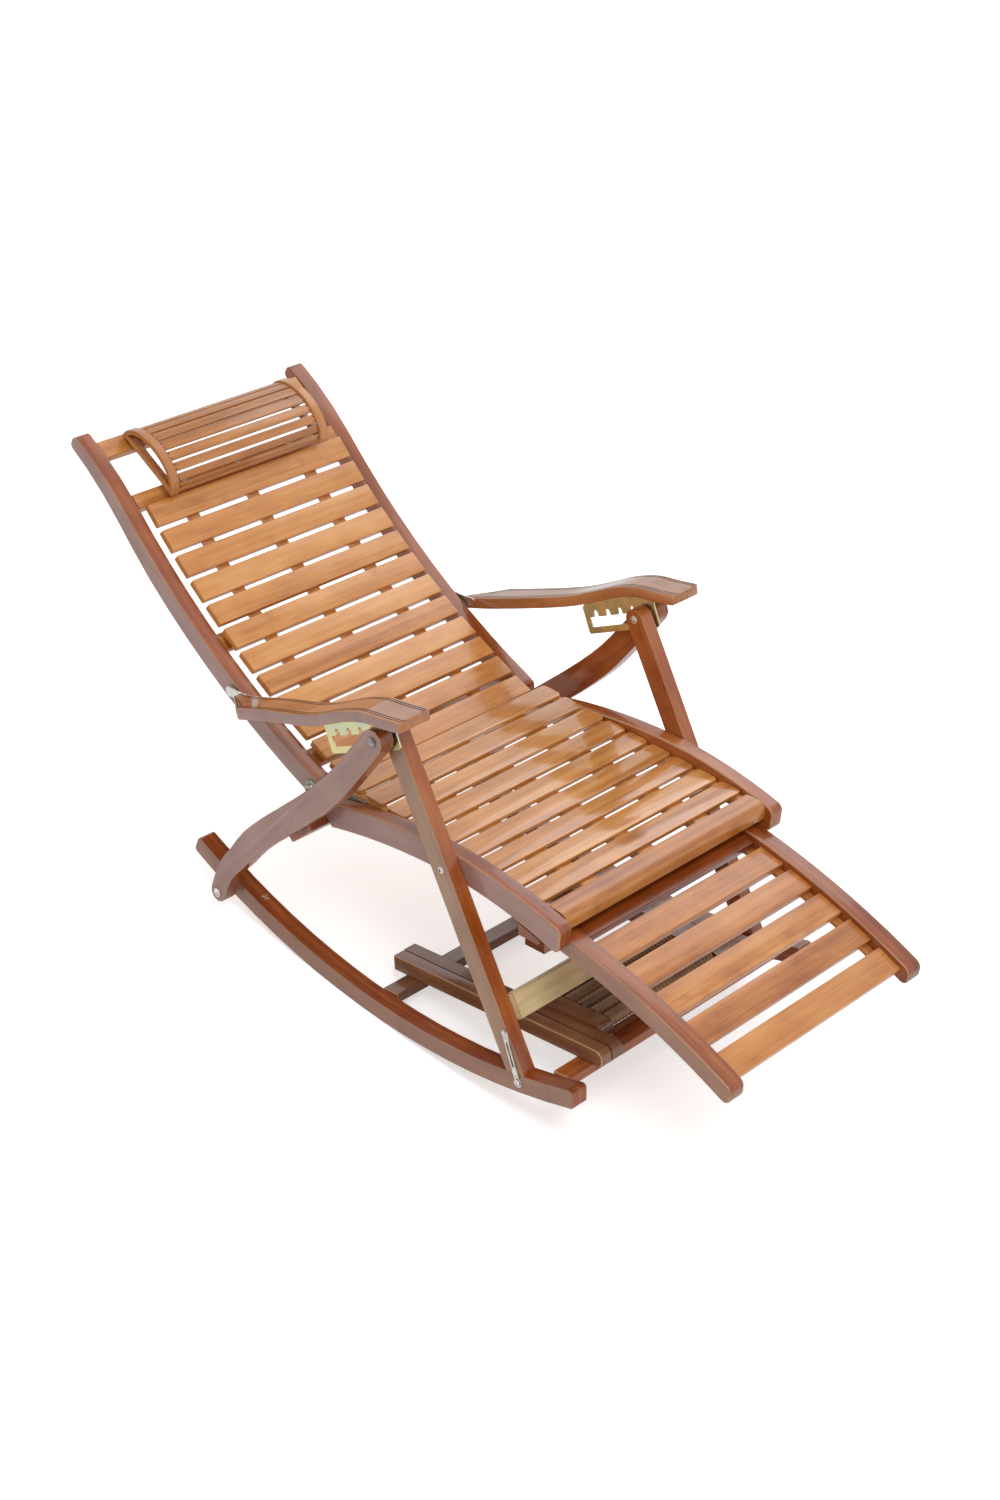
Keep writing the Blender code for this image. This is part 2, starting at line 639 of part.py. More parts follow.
# Footrest guide: a bar under the footrest, hung from blocks below the side rails
bar_top = foot_bottom_r - 0.0005
mid = arc(slide_centre, bar_top, arc_a(slide_centre, bar_top, guide_front),
          arc_a(slide_centre, bar_top, guide_rear), 3)
guide = slab("footrest_guide", mid + [(guide_rear, guide_bottom), (guide_front, guide_bottom)],
             -rail_in - 0.002, rail_in + 0.002, frame_wood, 0)
under = low_r - gap
post = arc(seat_arc, under, arc_a(seat_arc, under, guide_front), arc_a(seat_arc, under, guide_rear), 3)
posts = []
for s in (-1, 1):
    for width, low in ((rail_t - 0.001, guide_block), (guide_hang, guide_bottom)):
        x = sorted((s * (rail_in + 0.0005), s * (rail_in + 0.0005 + width)))
        posts.append(slab("post", post + [(guide_rear, low), (guide_front, low)], *x, frame_wood, 0))
put("seat", finish(unite(guide, *posts)))

# Footrest
def foot_a(y, r=foot_slat_r):
    return arc_a(slide_centre, r, y)


top = arc(slide_centre, foot_top_r, foot_a(foot_front, foot_top_r), foot_a(foot_rear, foot_top_r), 11)
bot = arc(slide_centre, foot_bottom_r, foot_a(foot_rear, foot_bottom_r),
          foot_a(foot_front + 0.004, foot_bottom_r), 11)
outline = top + bot
outline = fillet(outline, {0: 0.013, len(top) - 1: 0.003, len(top): 0.003, len(outline) - 1: 0.010}, 4)
put("foot", *pair(slab("footrest_rail", outline, foot_rail_in, foot_rail_out, foot_wood, 0.002)))
foot_parts = []
last_y = foot_front + 0.013 + foot_slat_w / 2
half = foot_rail_in - gap
for i in range(foot_slats):
    wide = foot_slat_w if i < foot_slats - 1 else 0.060
    y = last_y + i * foot_pitch + (wide - foot_slat_w) / 2
    a = foot_a(y)
    p = polar(slide_centre, foot_slat_r - slat_t / 2, a)
    foot_parts.append(box("footrest_panel", (0, *p), (2 * half, wide, slat_t), foot_wood,
                          a - pi / 2, 0))
cleat_r = foot_slat_r - slat_t + 0.0006
for s in (-1, 1):
    x = sorted((s * (half - 0.0001), s * (half - cleat_w)))
    lo, hi = foot_a(foot_front + 0.025), foot_a(foot_rear - 0.012)
    c = arc(slide_centre, cleat_r, lo, hi, 8) + arc(slide_centre, cleat_r - cleat_h, hi, lo, 8)
    foot_parts.append(slab("cleat", c, *x, foot_wood, 0))
panel = unite(foot_parts[0], *foot_parts[1:])
panel.name = "footrest_panel"
put("foot", finish(panel))

# Back
def back_point(s):
    """Point and direction of the slats' front face at the length s."""
    c1 = along(back_start, (cos(back_slope), sin(back_slope)), 0, back_r1)
    a = -pi / 2 + back_slope
    if s <= back_len1:
        b = a + s / back_r1
        return polar(c1, back_r1, b), b + pi / 2
    b = a + back_len1 / back_r1
    p = polar(c1, back_r1, b)
    d = b + pi / 2
    c2 = along(p, (cos(d), sin(d)), 0, -back_r2)
    e = d + pi / 2 - (s - back_len1) / back_r2
    return polar(c2, back_r2, e), e - pi / 2


def back_off(s, depth):
    p, d = back_point(s)
    return along(p, (cos(d), sin(d)), 0, -depth)


back_end = back_len1 + back_len2
rail_low = 0.030                                 # rail end rounded round the recline pivot
ss = [rail_low + (back_end - rail_low) * i / 13 for i in range(14)]
edge = [back_off(s, back_drop) for s in ss]
tail = [back_off(s, back_drop + back_rail_d + (back_rail_tip - back_rail_d)
                 * max(0.0, (s - 0.62 * back_end) / (0.38 * back_end))) for s in ss]
end_r = hypot(edge[0][0] - recline_pivot[0], edge[0][1] - recline_pivot[1])
e0 = atan2(edge[0][1] - recline_pivot[1], edge[0][0] - recline_pivot[0])
e1 = atan2(tail[0][1] - recline_pivot[1], tail[0][0] - recline_pivot[0])
end_r2 = hypot(tail[0][0] - recline_pivot[0], tail[0][1] - recline_pivot[1])
if e1 < e0:
    e1 += tau
cap = [polar(recline_pivot, end_r + (end_r2 - end_r) * k / 5, e0 + (e1 - e0) * k / 5)
       for k in range(1, 5)]
outline = edge[::-1] + cap + tail
outline = fillet(outline, {0: 0.010, len(outline) - 1: 0.010}, 4)
back_rail = slab("back_rail", outline, back_in, back_half, frame_wood, 0.0025,
                 [circle(recline_pivot, pin_r + run), circle(arm_pivot, 0.003 + run, 10)])
put("back", *pair(back_rail))
slats = []
slat_mesh = None
for i in range(back_slats):
    s = back_slat_w / 2 + (back_slats - 1 - i) * back_pitch
    p, d = back_point(s)
    c = along(p, (cos(d), sin(d)), 0, -slat_t / 2)
    name = "back_slat_%02d" % (i + 1)
    if slat_mesh is None:
        ob = finish(box(name, (0, *c), (2 * back_slat_half, back_slat_w, slat_t), slat_wood, d, 0.003))
        slat_mesh = ob.data
    else:
        ob = add(name, slat_mesh, None, (0, *c))
        ob.rotation_euler = (d, 0, 0)
    slats.append(ob)
put("back", *slats)


def back_board(name, stations, d0, d1, x0, x1):
    face = [back_off(s, d0) for s in stations]
    behind = [back_off(s, d1) for s in stations]
    return slab(name, face[::-1] + behind, x0, x1, slat_wood, 0)


inner = back_in - gap
# The battens bend between the slats, so that each slat lies flat on them
slat_back = slat_t + gap + back_pitch ** 2 / (8 * back_r1) + 0.0001
bends = [back_slat_w / 2 + (j + 0.5) * back_pitch for j in range(back_slats - 1)]
stations = [0.012] + bends + [neck_bar[0] + 0.008]
frame_parts = []
for x in (-batten_x, 0, batten_x):
    frame_parts.append(back_board("back_frame", stations, slat_back, slat_back + batten_t,
                                  x - batten_w / 2, x + batten_w / 2))
for s0, s1 in back_bars:
    frame_parts.append(back_board("bar", (s0, s1), slat_back + batten_t - 0.0006,
                                  slat_back + batten_t + back_bar_t, -inner, inner))
frame_parts.append(back_board("bar", neck_bar, back_drop, back_drop + 0.022, -inner, inner))
back_frame = unite(frame_parts[0], *frame_parts[1:])
back_frame.name = "back_frame"
put("back", finish(back_frame))

head = back_board("head_crossbar", head_bar, head_bar_drop, head_bar_drop + head_bar_t, -inner, inner)
put("back", finish(bevel(head, 0.0015)))

# Headrest: a half-round of slats on two bent hoops, with a board behind
hx, hz = (cos(head_slope), sin(head_slope)), None


def head_point(a, grow=0.0):
    return along(head_at, hx, cos(a) * (head_len + grow), sin(a) * (head_high + grow))


hoop_t, hoop_w = 0.009, 0.016
shell = [head_point(pi * k / 10) for k in range(11)] + [head_point(pi - pi * k / 10, -hoop_t)
                                                        for k in range(11)]
head_parts = []
for s in (-1, 1):
    x = sorted((s * head_half, s * (head_half - hoop_w)))
    head_parts.append(slab("headrest", shell, *x, slat_wood, 0))
slat_in = 0.0045
step = pi / (head_slats + 0.6)
for i in range(head_slats):
    a = pi * 0.5 + (i - (head_slats - 1) / 2) * step
    p = head_point(a, -hoop_t * 0.5)
    q0, q1 = head_point(a - 0.05, -hoop_t * 0.5), head_point(a + 0.05, -hoop_t * 0.5)
    tilt = atan2(q0[1] - q1[1], q0[0] - q1[0])
    w = hypot(q1[0] - q0[0], q1[1] - q0[1]) * (step / 0.1) - 0.0035
    head_parts.append(box("hslat", (0, *p), (2 * head_half - 0.018, w, slat_in), slat_wood, tilt, 0))
board = rect(along(head_at, hx, 0, 0.0035), 2 * head_len - 0.004, 0.007, head_slope)
head_parts.append(slab("hboard", board, -head_half + 0.002, head_half - 0.002, slat_wood, 0.001))
foot_p = along(head_at, hx, -head_len + 0.006, 0.001)
for x in (-0.11, 0, 0.11):
    a_p = Vector(foot_p)
    b_p = Vector(back_off(neck_bar[1] - 0.006, back_drop - gap - 0.0011))
    m_p = (a_p + b_p) / 2
    cl = (b_p - a_p)
    head_parts.append(box("clip", (x, m_p.x, m_p.y), (0.012, cl.length, 0.004), slat_wood,
                          atan2(cl.y, cl.x), 0))
headrest = unite(head_parts[0], *head_parts[1:])
headrest.name = "headrest"
put("back", finish(headrest))

# Recline hinges: a strap on the seat's ledger with the back's pivot bolt
sx1 = seat_half - ledger_w - gap
sx0 = sx1 - 0.004
strap_y = 0.070
hinge_line = [(strap_y, slat_top(strap_y) - slat_t - 0.0135), (0.120, slat_top(0.120) - slat_t - 0.0135),
              (0.160, recline_pivot[1] - 0.002), recline_pivot]
plate = slab("recline_hinge", ribbon(hinge_line, [0.020, 0.021, 0.023, 0.024], 2, 5), sx0, sx1, steel, 0)
bolt = turned("bolt", [(back_half + 0.0120, 0), (back_half + 0.0110, 0.0040), (back_half + 0.0085, 0.0065),
                       (back_half + 0.0030, 0.0065), (back_half + 0.0022, 0.0100),
                       (back_half + 0.0012, 0.0130), (back_half + gap, 0.0130),
                       (back_half + gap, pin_r), (sx0 + 0.001, pin_r), (sx0 + 0.001, 0)],
              recline_pivot, steel, 12)
put("seat", *pair(unite(plate, bolt)))

# Armrests
line = smooth(arm_line, 2)
thick = [arm_t + (arm_rear_t - arm_t) * i / (len(line) - 1) for i in range(len(line))]
arm_top = shifted(line, [-t / 2 for t in thick])
arm_under = shifted(line, [t / 2 for t in thick])
if arm_top[0][1] < arm_under[0][1]:
    arm_top, arm_under = arm_under, arm_top
side = fillet(arm_under + arm_top[::-1], {0: 0.003, len(line) - 1: 0.004, len(line): 0.006,
                                           2 * len(line) - 1: 0.004}, 3)
arm = bake(slab("armrest", side, arm_rear_in - 0.01, arm_out + 0.01, frame_wood, 0))
y_f, y_r = arm_line[0][0] - 0.02, arm_line[-1][0] + 0.02
plan_pts = [(arm_in, y_f + 0.014), (arm_out, y_f + 0.014), (arm_out, 0.020), (arm_out - 0.006, 0.110),
            (arm_rear_out, 0.200), (arm_rear_out, y_r), (arm_rear_in, y_r), (arm_rear_in, 0.215),
            (arm_in, 0.120), (arm_in, 0.060)]
plan_pts = fillet(plan_pts, {0: 0.006, 1: 0.008, 2: arm_curves[0], 3: arm_curves[1], 4: arm_curves[2],
                             7: arm_curves[2], 8: arm_curves[2]}, 3)
plan = slab("plan", plan_pts, -0.3, 0.3, None, 0)
bake(plan)
plan.data.transform(Matrix.Translation(plan.location))
plan.location = (0, 0, 0)
turn = Matrix(((0, 1, 0, 0), (0, 0, 1, 0), (1, 0, 0, 0), (0, 0, 0, 1)))
plan.data.transform(turn)                        # outline (y, z) to (x, y)
unite(arm, plan, how='INTERSECT')
bevel(arm, 0.0022, 1, 50)
arms = pair(arm)


def under_line(y0, y1, drop):
    """The armrest's underside between y0 and y1, lowered by drop."""
    low = shifted(arm_under, -drop) if arm_under[0][1] < arm_top[0][1] else arm_under
    fine = smooth(low, 3)
    return [p for p in fine if y0 <= p[0] <= y1]


nrm = normals(arm_under)[0]
sign = -1 if nrm.y > 0 else 1


def under_at(y0, y1, drop):
    fine = smooth(shifted(arm_under, sign * drop), 3)
    return [p for p in fine if y0 <= p[0] <= y1]


# Toothed bracket: slot with notches for the crossing pin
def un(du, dn):
    return (slot_u[0] * du + slot_n[0] * dn, slot_u[1] * du + slot_n[1] * dn)


pin_u = cross_pivot[0] * slot_u[0] + cross_pivot[1] * slot_u[1]
u_rear, u_front = pin_u - (notches - 1) * notch_pitch - bracket_rear, pin_u + bracket_front
slot_rear, slot_front = u_rear + slot_rear_gap, u_front - slot_front_gap
r = notch_w / 2
comb = [un(slot_rear, slot_bottom), un(slot_front, slot_bottom)]
comb += [un(slot_front, tooth_tip + 0.002)]
for i in range(notches):
    nu = pin_u - i * notch_pitch
    comb += [un(nu + r + 0.001, tooth_tip + (0.002 if i == 0 else 0.0)), un(nu + r, tooth_tip + 0.0015)]
    comb += [un(nu + r * cos(pi * k / 3), notch_top - r + r * sin(pi * k / 3)) for k in range(0, 4)]
    comb += [un(nu - r, tooth_tip + 0.0015), un(nu - r - 0.001, tooth_tip)]
comb += [un(slot_rear, tooth_tip)]
top_edge = under_at(flange_y0 - 0.0025, flange_y1 + 0.0025, gap)
low_edge = [un(u_rear, slot_bottom - bar_h), un(u_front, slot_bottom - bar_h)]
side = [low_edge[0], un(u_rear, bracket_rear_n)] + top_edge[::-1]
side += [un(u_front, bracket_front_n), low_edge[1]]
side = fillet(side, {0: 0.004, 1: 0.003, len(side) - 2: 0.003, len(side) - 1: 0.004}, 3)
sheet = slab("armrest_bracket", side, plate_in, plate_out, zinc, 0, [comb])
f_top, f_low = [under_at(flange_y0, flange_y1, drop) for drop in (gap, gap + plate_t)]
flange = slab("flange", f_top + f_low[::-1], plate_in + 0.0002, plate_out + 0.011, zinc, 0)
brackets = pair(unite(sheet, flange))

# Strap from the armrest's rear end to the pivot on the back rail
strap_in = back_half + 0.0035
rear_line = [arm_line[-3], arm_line[-2], arm_line[-1], (0.335, 0.0275), arm_pivot]
strap = slab("armrest_hinge", ribbon(rear_line, [0.013, 0.013, 0.014, 0.015, 0.017], 2, 5),
             strap_in, strap_in + strap_t, steel, 0)
pivot = turned("pivot", [(strap_in + strap_t + 0.0028, 0), (strap_in + strap_t + 0.0022, 0.0040),
                         (strap_in + strap_t + 0.0005, 0.0060), (strap_in + 0.0005, 0.0060),
                         (strap_in + 0.0005, 0.0070), (back_half + gap, 0.0070),
                         (back_half + gap, 0.003), (back_in + 0.002, 0.003), (back_in + 0.002, 0)],
               arm_pivot, steel, 10)
straps = pair(unite(strap, pivot))


# Joints: an empty on each axis, and the chair tipped back so that it rests on its rockers
def empty(name, at, parent=None):
    e = bpy.data.objects.new(name, None)
    e.empty_display_size = 0.05
    parts.objects.link(e)
    e.parent = parent
    e.location = Vector(at) - (Vector(parent["at"]) if parent else Vector((0, 0, 0)))
    e["at"] = Vector(at)
    return e


def hang(parent, obs):
    for o in obs:
        o.parent = parent
        o.location = o.location - Vector(parent["at"])


root = empty("chair", (0, 0, 0))
fold = empty("frame_fold", (0, *rocker_pivot), root)
recline = empty("recline", (0, *recline_pivot), fold)
slide = empty("footrest_slide", (0, *slide_centre), fold)
hang(root, groups["base"])
for i, r in enumerate(rollers):
    hang(empty("roller_axis_%d" % (i + 1), (0, *roller_at[i]), root), [r])
hang(fold, groups["seat"])
hang(recline, groups["back"])
hang(slide, groups["foot"])
for k, (word, sx) in enumerate((("left", 1), ("right", -1))):
    hang(empty("arm_" + word, (0, *arm_pivot), recline), [arms[k], brackets[k], straps[k]])
    hang(empty("hook_" + word, (0, *hook_top), fold), [hooks[k]])
root.rotation_euler = (-rest_tilt, 0, 0)
bpy.context.view_layer.update()
low, high = Vector((9, 9, 9)), Vector((-9, -9, -9))
for ob in parts.objects:
    if ob.type == 'MESH':
        for v in ob.data.vertices:
            w = ob.matrix_world @ v.co
            low = Vector(map(min, low, w))
            high = Vector(map(max, high, w))
root.location = (-(low.x + high.x) / 2, -(low.y + high.y) / 2, -low.z)
bpy.context.view_layer.update()
for e in parts.objects:
    if e.type == 'EMPTY':
        print("axis", e.name, [round(c, 5) for c in e.matrix_world.translation])
print("size", [round(c, 4) for c in (high - low)])
tris = 0
for ob in parts.objects:
    if ob.type == 'MESH':
        n = sum(len(p.vertices) - 2 for p in ob.data.polygons)
        tris += n
print("triangles", tris, "nodes", sum(o.type == 'MESH' for o in parts.objects))
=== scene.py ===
import bpy
import bmesh
import json
import random
from math import radians, sin, cos, atan2, hypot, sqrt, pi, tau, asin
from mathutils import Matrix, Vector

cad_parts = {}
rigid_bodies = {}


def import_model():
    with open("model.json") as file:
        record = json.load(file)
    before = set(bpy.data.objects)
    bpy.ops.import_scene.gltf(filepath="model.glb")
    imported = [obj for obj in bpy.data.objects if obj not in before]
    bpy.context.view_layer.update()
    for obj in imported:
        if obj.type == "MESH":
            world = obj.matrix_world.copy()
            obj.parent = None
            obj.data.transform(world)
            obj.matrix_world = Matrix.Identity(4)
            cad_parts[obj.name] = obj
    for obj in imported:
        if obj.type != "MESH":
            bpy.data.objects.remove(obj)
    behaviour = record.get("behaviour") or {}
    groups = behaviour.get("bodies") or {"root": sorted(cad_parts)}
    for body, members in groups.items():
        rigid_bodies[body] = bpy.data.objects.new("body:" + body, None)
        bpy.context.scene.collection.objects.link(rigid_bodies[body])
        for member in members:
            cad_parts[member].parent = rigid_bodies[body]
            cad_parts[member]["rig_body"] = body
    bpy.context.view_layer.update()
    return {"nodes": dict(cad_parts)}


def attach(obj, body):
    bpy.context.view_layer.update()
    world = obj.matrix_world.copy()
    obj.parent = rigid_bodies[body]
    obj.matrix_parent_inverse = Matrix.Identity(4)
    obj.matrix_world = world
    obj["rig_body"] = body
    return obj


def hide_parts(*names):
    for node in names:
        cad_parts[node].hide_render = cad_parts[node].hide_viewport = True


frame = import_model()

# Camera, and the chair's own frame. Every measure below is in metres in the level frame in which the
# chair was drawn, in side view (y, z). On its rockers the chair leans back by `lean`, and to_room
# turns a point of that frame into the room.
lean = radians(8.6)
frame_origin = Vector((0, -0.0622, 0.4085))
to_room = Matrix.Translation(frame_origin) @ Matrix.Rotation(-lean, 4, 'X')
to_chair = to_room.inverted()


def linked(name, data):
    """A new object in the scene that shows the given data."""
    ob = bpy.data.objects.new(name, data)
    bpy.context.scene.collection.objects.link(ob)
    return ob


view_turn, view_rise, view_far = -0.800265, 0.497822, 3.84586
view_aside, view_below = 0.0190735, 0.0350491
focal_px, photo_high_px, sensor_mm = 2529.2, 1500, 36.0
view_back = Vector((sin(view_turn) * cos(view_rise), -cos(view_turn) * cos(view_rise), sin(view_rise)))
view_right = Vector((0, 0, 1)).cross(view_back).normalized()
view_up = view_back.cross(view_right)
eye = view_back * view_far - view_right * view_aside - view_up * view_below
camera = linked("camera", bpy.data.cameras.new("camera"))
camera.data.sensor_width, camera.data.sensor_fit = sensor_mm, 'AUTO'
camera.data.lens = focal_px / photo_high_px * sensor_mm
camera.data.clip_end = 50
turned_to = Matrix((view_right, view_up, view_back)).transposed().to_4x4()
camera.matrix_world = to_room @ Matrix.Translation(eye) @ turned_to
bpy.context.scene.camera = camera

# Seat: nine lacquered bamboo slats, 7 mm thick with rounded ends, on three battens and two ledgers.
# Each slat is glued up from narrow strips of bamboo, so its grain runs along X with fine fibres,
# paler and darker strips, and here and there the dark line of a culm node across a strip.


def linear(code):
    """An sRGB hex colour as linear RGBA."""
    c = [int(code[i:i + 2], 16) / 255 for i in (0, 2, 4)]
    return (*[v / 12.92 if v <= 0.04045 else ((v + 0.055) / 1.055) ** 2.4 for v in c], 1.0)


def node(tree, kind, links=None, stops=(), **settings):
    """Adds one node: settings are its properties, links its inputs (a value, another's output, or a
    node for its first output), and stops the colours of a colour ramp, its two ends first."""
    n = tree.nodes.new(kind)
    for key, value in settings.items():
        setattr(n, key, value)
    for key, value in (links or {}).items():
        if isinstance(value, bpy.types.Node):
            value = value.outputs[0]
        if isinstance(value, bpy.types.NodeSocket):
            tree.links.new(value, n.inputs[key])
        else:
            n.inputs[key].default_value = value
    for i, (at, code) in enumerate(stops):
        e = n.color_ramp.elements[i] if i < 2 else n.color_ramp.elements.new(at)
        e.position, e.color = at, linear(code)
    return n


def new_finish(name):
    """A new material, its tree and its main shader."""
    mat = bpy.data.materials.new(name)
    mat.use_nodes = True
    return mat, mat.node_tree, mat.node_tree.nodes["Principled BSDF"]


strips_differ, boards_differ, clouds_differ, contrast = 0.18, 0.28, 0.7, 2.2
knot_line, knot_smudge, knot_share = (0.0035, 0.45), (0.016, 0.30), 0.38     # half widths and depths
seam_half, seam_depth = 0.0005, 0.14


def bamboo(name, dark, mid, pale, strip=0.014, knot=0.23, rough=0.28, coat=0.5, streaks=0.30, fibres=0.16):
    """Lacquered laminated bamboo. The piece's "grain" attribute is (along, across, deep) in
    metres and "tone" sets a board apart from its neighbours. strip is the width of one strip of
    culm and knot the usual distance between two nodes of it."""
    mat, t, out = new_finish(name)

    math, spread = "ShaderNodeMath", "ShaderNodeMapRange"
    grain = node(t, "ShaderNodeAttribute", attribute_name="grain").outputs["Vector"]
    tone = node(t, "ShaderNodeAttribute", attribute_name="tone").outputs["Fac"]
    part = node(t, "ShaderNodeSeparateXYZ", {0: grain}).outputs
    shift = node(t, math, {0: tone, 1: 37.0}, operation='MULTIPLY')
    lane = node(t, math, {0: part["Y"], 1: strip}, operation='DIVIDE')
    lane = node(t, math, {0: lane, 1: shift}, operation='ADD')
    which = node(t, math, {0: lane}, operation='FLOOR')
    pick = node(t, "ShaderNodeTexWhiteNoise", {"W": which}, noise_dimensions='1D').outputs
    # fibres of about 1 mm, drawn coarser than real so that they show, streaks of 9 mm, soft clouds
    fibre, streak, cloud = ((22.0, 800.0, 800.0), 3.0), ((3.5, 110.0, 110.0), 4.0), ((11.0, 22.0, 22.0), 2.0)
    patterns = []
    for scale, detail in (fibre, streak, cloud):
        at = node(t, "ShaderNodeVectorMath", {0: grain, 1: scale}, operation='MULTIPLY')
        at = node(t, "ShaderNodeVectorMath", {0: at, 1: shift}, operation='ADD')
        given = {"Vector": at, "Scale": 1.0, "Detail": detail, "Roughness": 0.6}
        patterns.append(node(t, "ShaderNodeTexNoise", given).outputs["Fac"])
    fibre, streak, cloud = patterns
    level = node(t, math, {0: pick["Value"], 1: strips_differ, 2: 0.5 - strips_differ / 2},
                 operation='MULTIPLY_ADD')
    for pattern, amount in ((streak, contrast * streaks), (fibre, contrast * fibres),
                            (cloud, clouds_differ), (tone, boards_differ)):
        above = node(t, math, {0: pattern, 1: 0.5}, operation='SUBTRACT')
        level = node(t, math, {0: above, 1: amount, 2: level}, operation='MULTIPLY_ADD')
    colour = node(t, "ShaderNodeValToRGB", {0: level}, [(0.05, dark), (0.95, pale), (0.5, mid)])
    # culm nodes: a dark line with a soft smudge round it, at its own place on some of the strips
    place = node(t, math, {0: part["X"], 1: knot}, operation='DIVIDE')
    place = node(t, math, {0: pick["Value"], 1: 7.3, 2: place}, operation='MULTIPLY_ADD')
    off_middle = []
    for cell in (place, lane):
        cell = node(t, math, {0: cell}, operation='FRACT')
        cell = node(t, math, {0: cell, 1: 0.5}, operation='SUBTRACT')
        off_middle.append(node(t, math, {0: cell}, operation='ABSOLUTE'))
    thin, soft = [node(t, spread, {"Value": off_middle[0], "From Min": half / knot, "From Max": 0.0,
                                   "To Max": depth}) for half, depth in (knot_line, knot_smudge)]
    some = node(t, "ShaderNodeSeparateColor", {0: pick["Color"]}).outputs["Green"]
    some = node(t, math, {0: some, 1: 1 - knot_share}, operation='GREATER_THAN')
    knots = node(t, math, {0: thin, 1: soft}, operation='MAXIMUM')
    knots = node(t, math, {0: knots, 1: some}, operation='MULTIPLY')
    # glue lines between the strips
    seam = node(t, spread, {"Value": off_middle[1], "From Min": 0.5 - seam_half / strip, "From Max": 0.5,
                            "To Max": seam_depth})
    marks = node(t, math, {0: knots, 1: seam}, operation='MAXIMUM')
    colour = node(t, "ShaderNodeMix", {0: marks, 6: colour, 7: linear(dark)}, data_type='RGBA').outputs[2]
    bump = node(t, "ShaderNodeBump", {"Height": fibre, "Strength": 0.2, "Distance": 0.00015}).outputs[0]
    sheen = node(t, spread, {"Value": streak, "To Min": rough - 0.06, "To Max": rough + 0.10})
    t.links.new(colour, out.inputs["Base Color"])
    t.links.new(bump, out.inputs["Normal"])
    t.links.new(sheen.outputs[0], out.inputs["Roughness"])
    out.inputs["Coat Weight"].default_value = coat
    out.inputs["Coat Roughness"].default_value = 0.09
    out.inputs["Specular IOR Level"].default_value = 0.5
    return mat


def open_tree(name, sizes):
    """A geometry tree that takes points, the named sizes and a finish. Gives it and its inputs."""
    g = bpy.data.node_groups.new(name, 'GeometryNodeTree')
    face = g.interface
    face.new_socket("Points", in_out='INPUT', socket_type='NodeSocketGeometry')
    for label, value in sizes:
        face.new_socket(label, in_out='INPUT', socket_type='NodeSocketFloat').default_value = value
    face.new_socket("Finish", in_out='INPUT', socket_type='NodeSocketMaterial')
    face.new_socket("Geometry", in_out='OUTPUT', socket_type='NodeSocketGeometry')
    return g, node(g, "NodeGroupInput").outputs


def close_tree(g, given, shape):
    """Sets the shape on every point, turned about X by the point's tilt."""
    tilt = node(g, "GeometryNodeInputNamedAttribute", {"Name": "tilt"}, data_type='FLOAT').outputs[0]
    turn = node(g, "ShaderNodeCombineXYZ", {0: tilt}).outputs[0]
    row = node(g, "GeometryNodeInstanceOnPoints",
               {"Points": given["Points"], "Instance": shape, "Rotation": turn})
    real = node(g, "GeometryNodeRealizeInstances", {"Geometry": row.outputs[0]})
    dressed = node(g, "GeometryNodeSetMaterial", {"Geometry": real.outputs[0], "Material": given["Finish"]})
    node(g, "NodeGroupOutput", {0: dressed.outputs[0]})
    return g


def slat_tree():
    """Boards with rounded corners; their grain is measured from their own middles."""
    sizes = (("Length", 0.4), ("Width", 0.04), ("Thickness", 0.012), ("Corner", 0.006))
    g, given = open_tree("slat_row", sizes)
    quad = node(g, "GeometryNodeCurvePrimitiveQuadrilateral",
                {"Width": given["Length"], "Height": given["Width"]})
    soft = node(g, "GeometryNodeFilletCurve",
                {"Curve": quad.outputs[0], "Radius": given["Corner"], "Count": 5}, mode='POLY')
    plate = node(g, "GeometryNodeFillCurve", {"Curve": soft.outputs[0]}, mode='NGONS')
    half = node(g, "ShaderNodeMath", {0: given["Thickness"], 1: -0.5}, operation='MULTIPLY').outputs[0]
    low = node(g, "ShaderNodeCombineXYZ", {2: half}).outputs[0]
    placed = node(g, "GeometryNodeSetPosition", {"Geometry": plate.outputs[0], "Offset": low})
    raised = node(g, "GeometryNodeExtrudeMesh",
                  {"Mesh": placed.outputs[0], "Offset Scale": given["Thickness"], "Individual": False})
    under = node(g, "GeometryNodeFlipFaces", {"Mesh": placed.outputs[0]})
    whole = node(g, "GeometryNodeJoinGeometry")
    g.links.new(raised.outputs[0], whole.inputs[0])
    g.links.new(under.outputs[0], whole.inputs[0])
    board = node(g, "GeometryNodeMergeByDistance", {"Geometry": whole.outputs[0], "Distance": 0.00005})
    where = node(g, "GeometryNodeInputPosition").outputs[0]
    grain = node(g, "GeometryNodeStoreNamedAttribute",
                 {"Geometry": board.outputs[0], "Name": "grain", "Value": where},
                 data_type='FLOAT_VECTOR', domain='POINT')
    return close_tree(g, given, grain.outputs[0])


def on_points(name, tree, places, given):
    """An object with the tree's shape on each place (x, y, z, tilt) of the chair's frame."""
    me = bpy.data.meshes.new(name)
    me.from_pydata([to_room @ Vector(place[:3]) for place in places], [], [])
    tilts = [place[3] - lean for place in places]
    me.attributes.new("tilt", 'FLOAT', 'POINT').data.foreach_set("value", tilts)
    ob = linked(name, me)
    m = ob.modifiers.new("row", 'NODES')
    m.node_group = tree
    for item in tree.interface.items_tree:
        if item.in_out == 'INPUT' and item.name in given:
            m[item.identifier] = given[item.name]
    return ob


def evaluated(ob):
    """The object's shape after its modifiers, as a new mesh."""
    bpy.context.view_layer.update()
    return bpy.data.meshes.new_from_object(ob.evaluated_get(bpy.context.evaluated_depsgraph_get()))


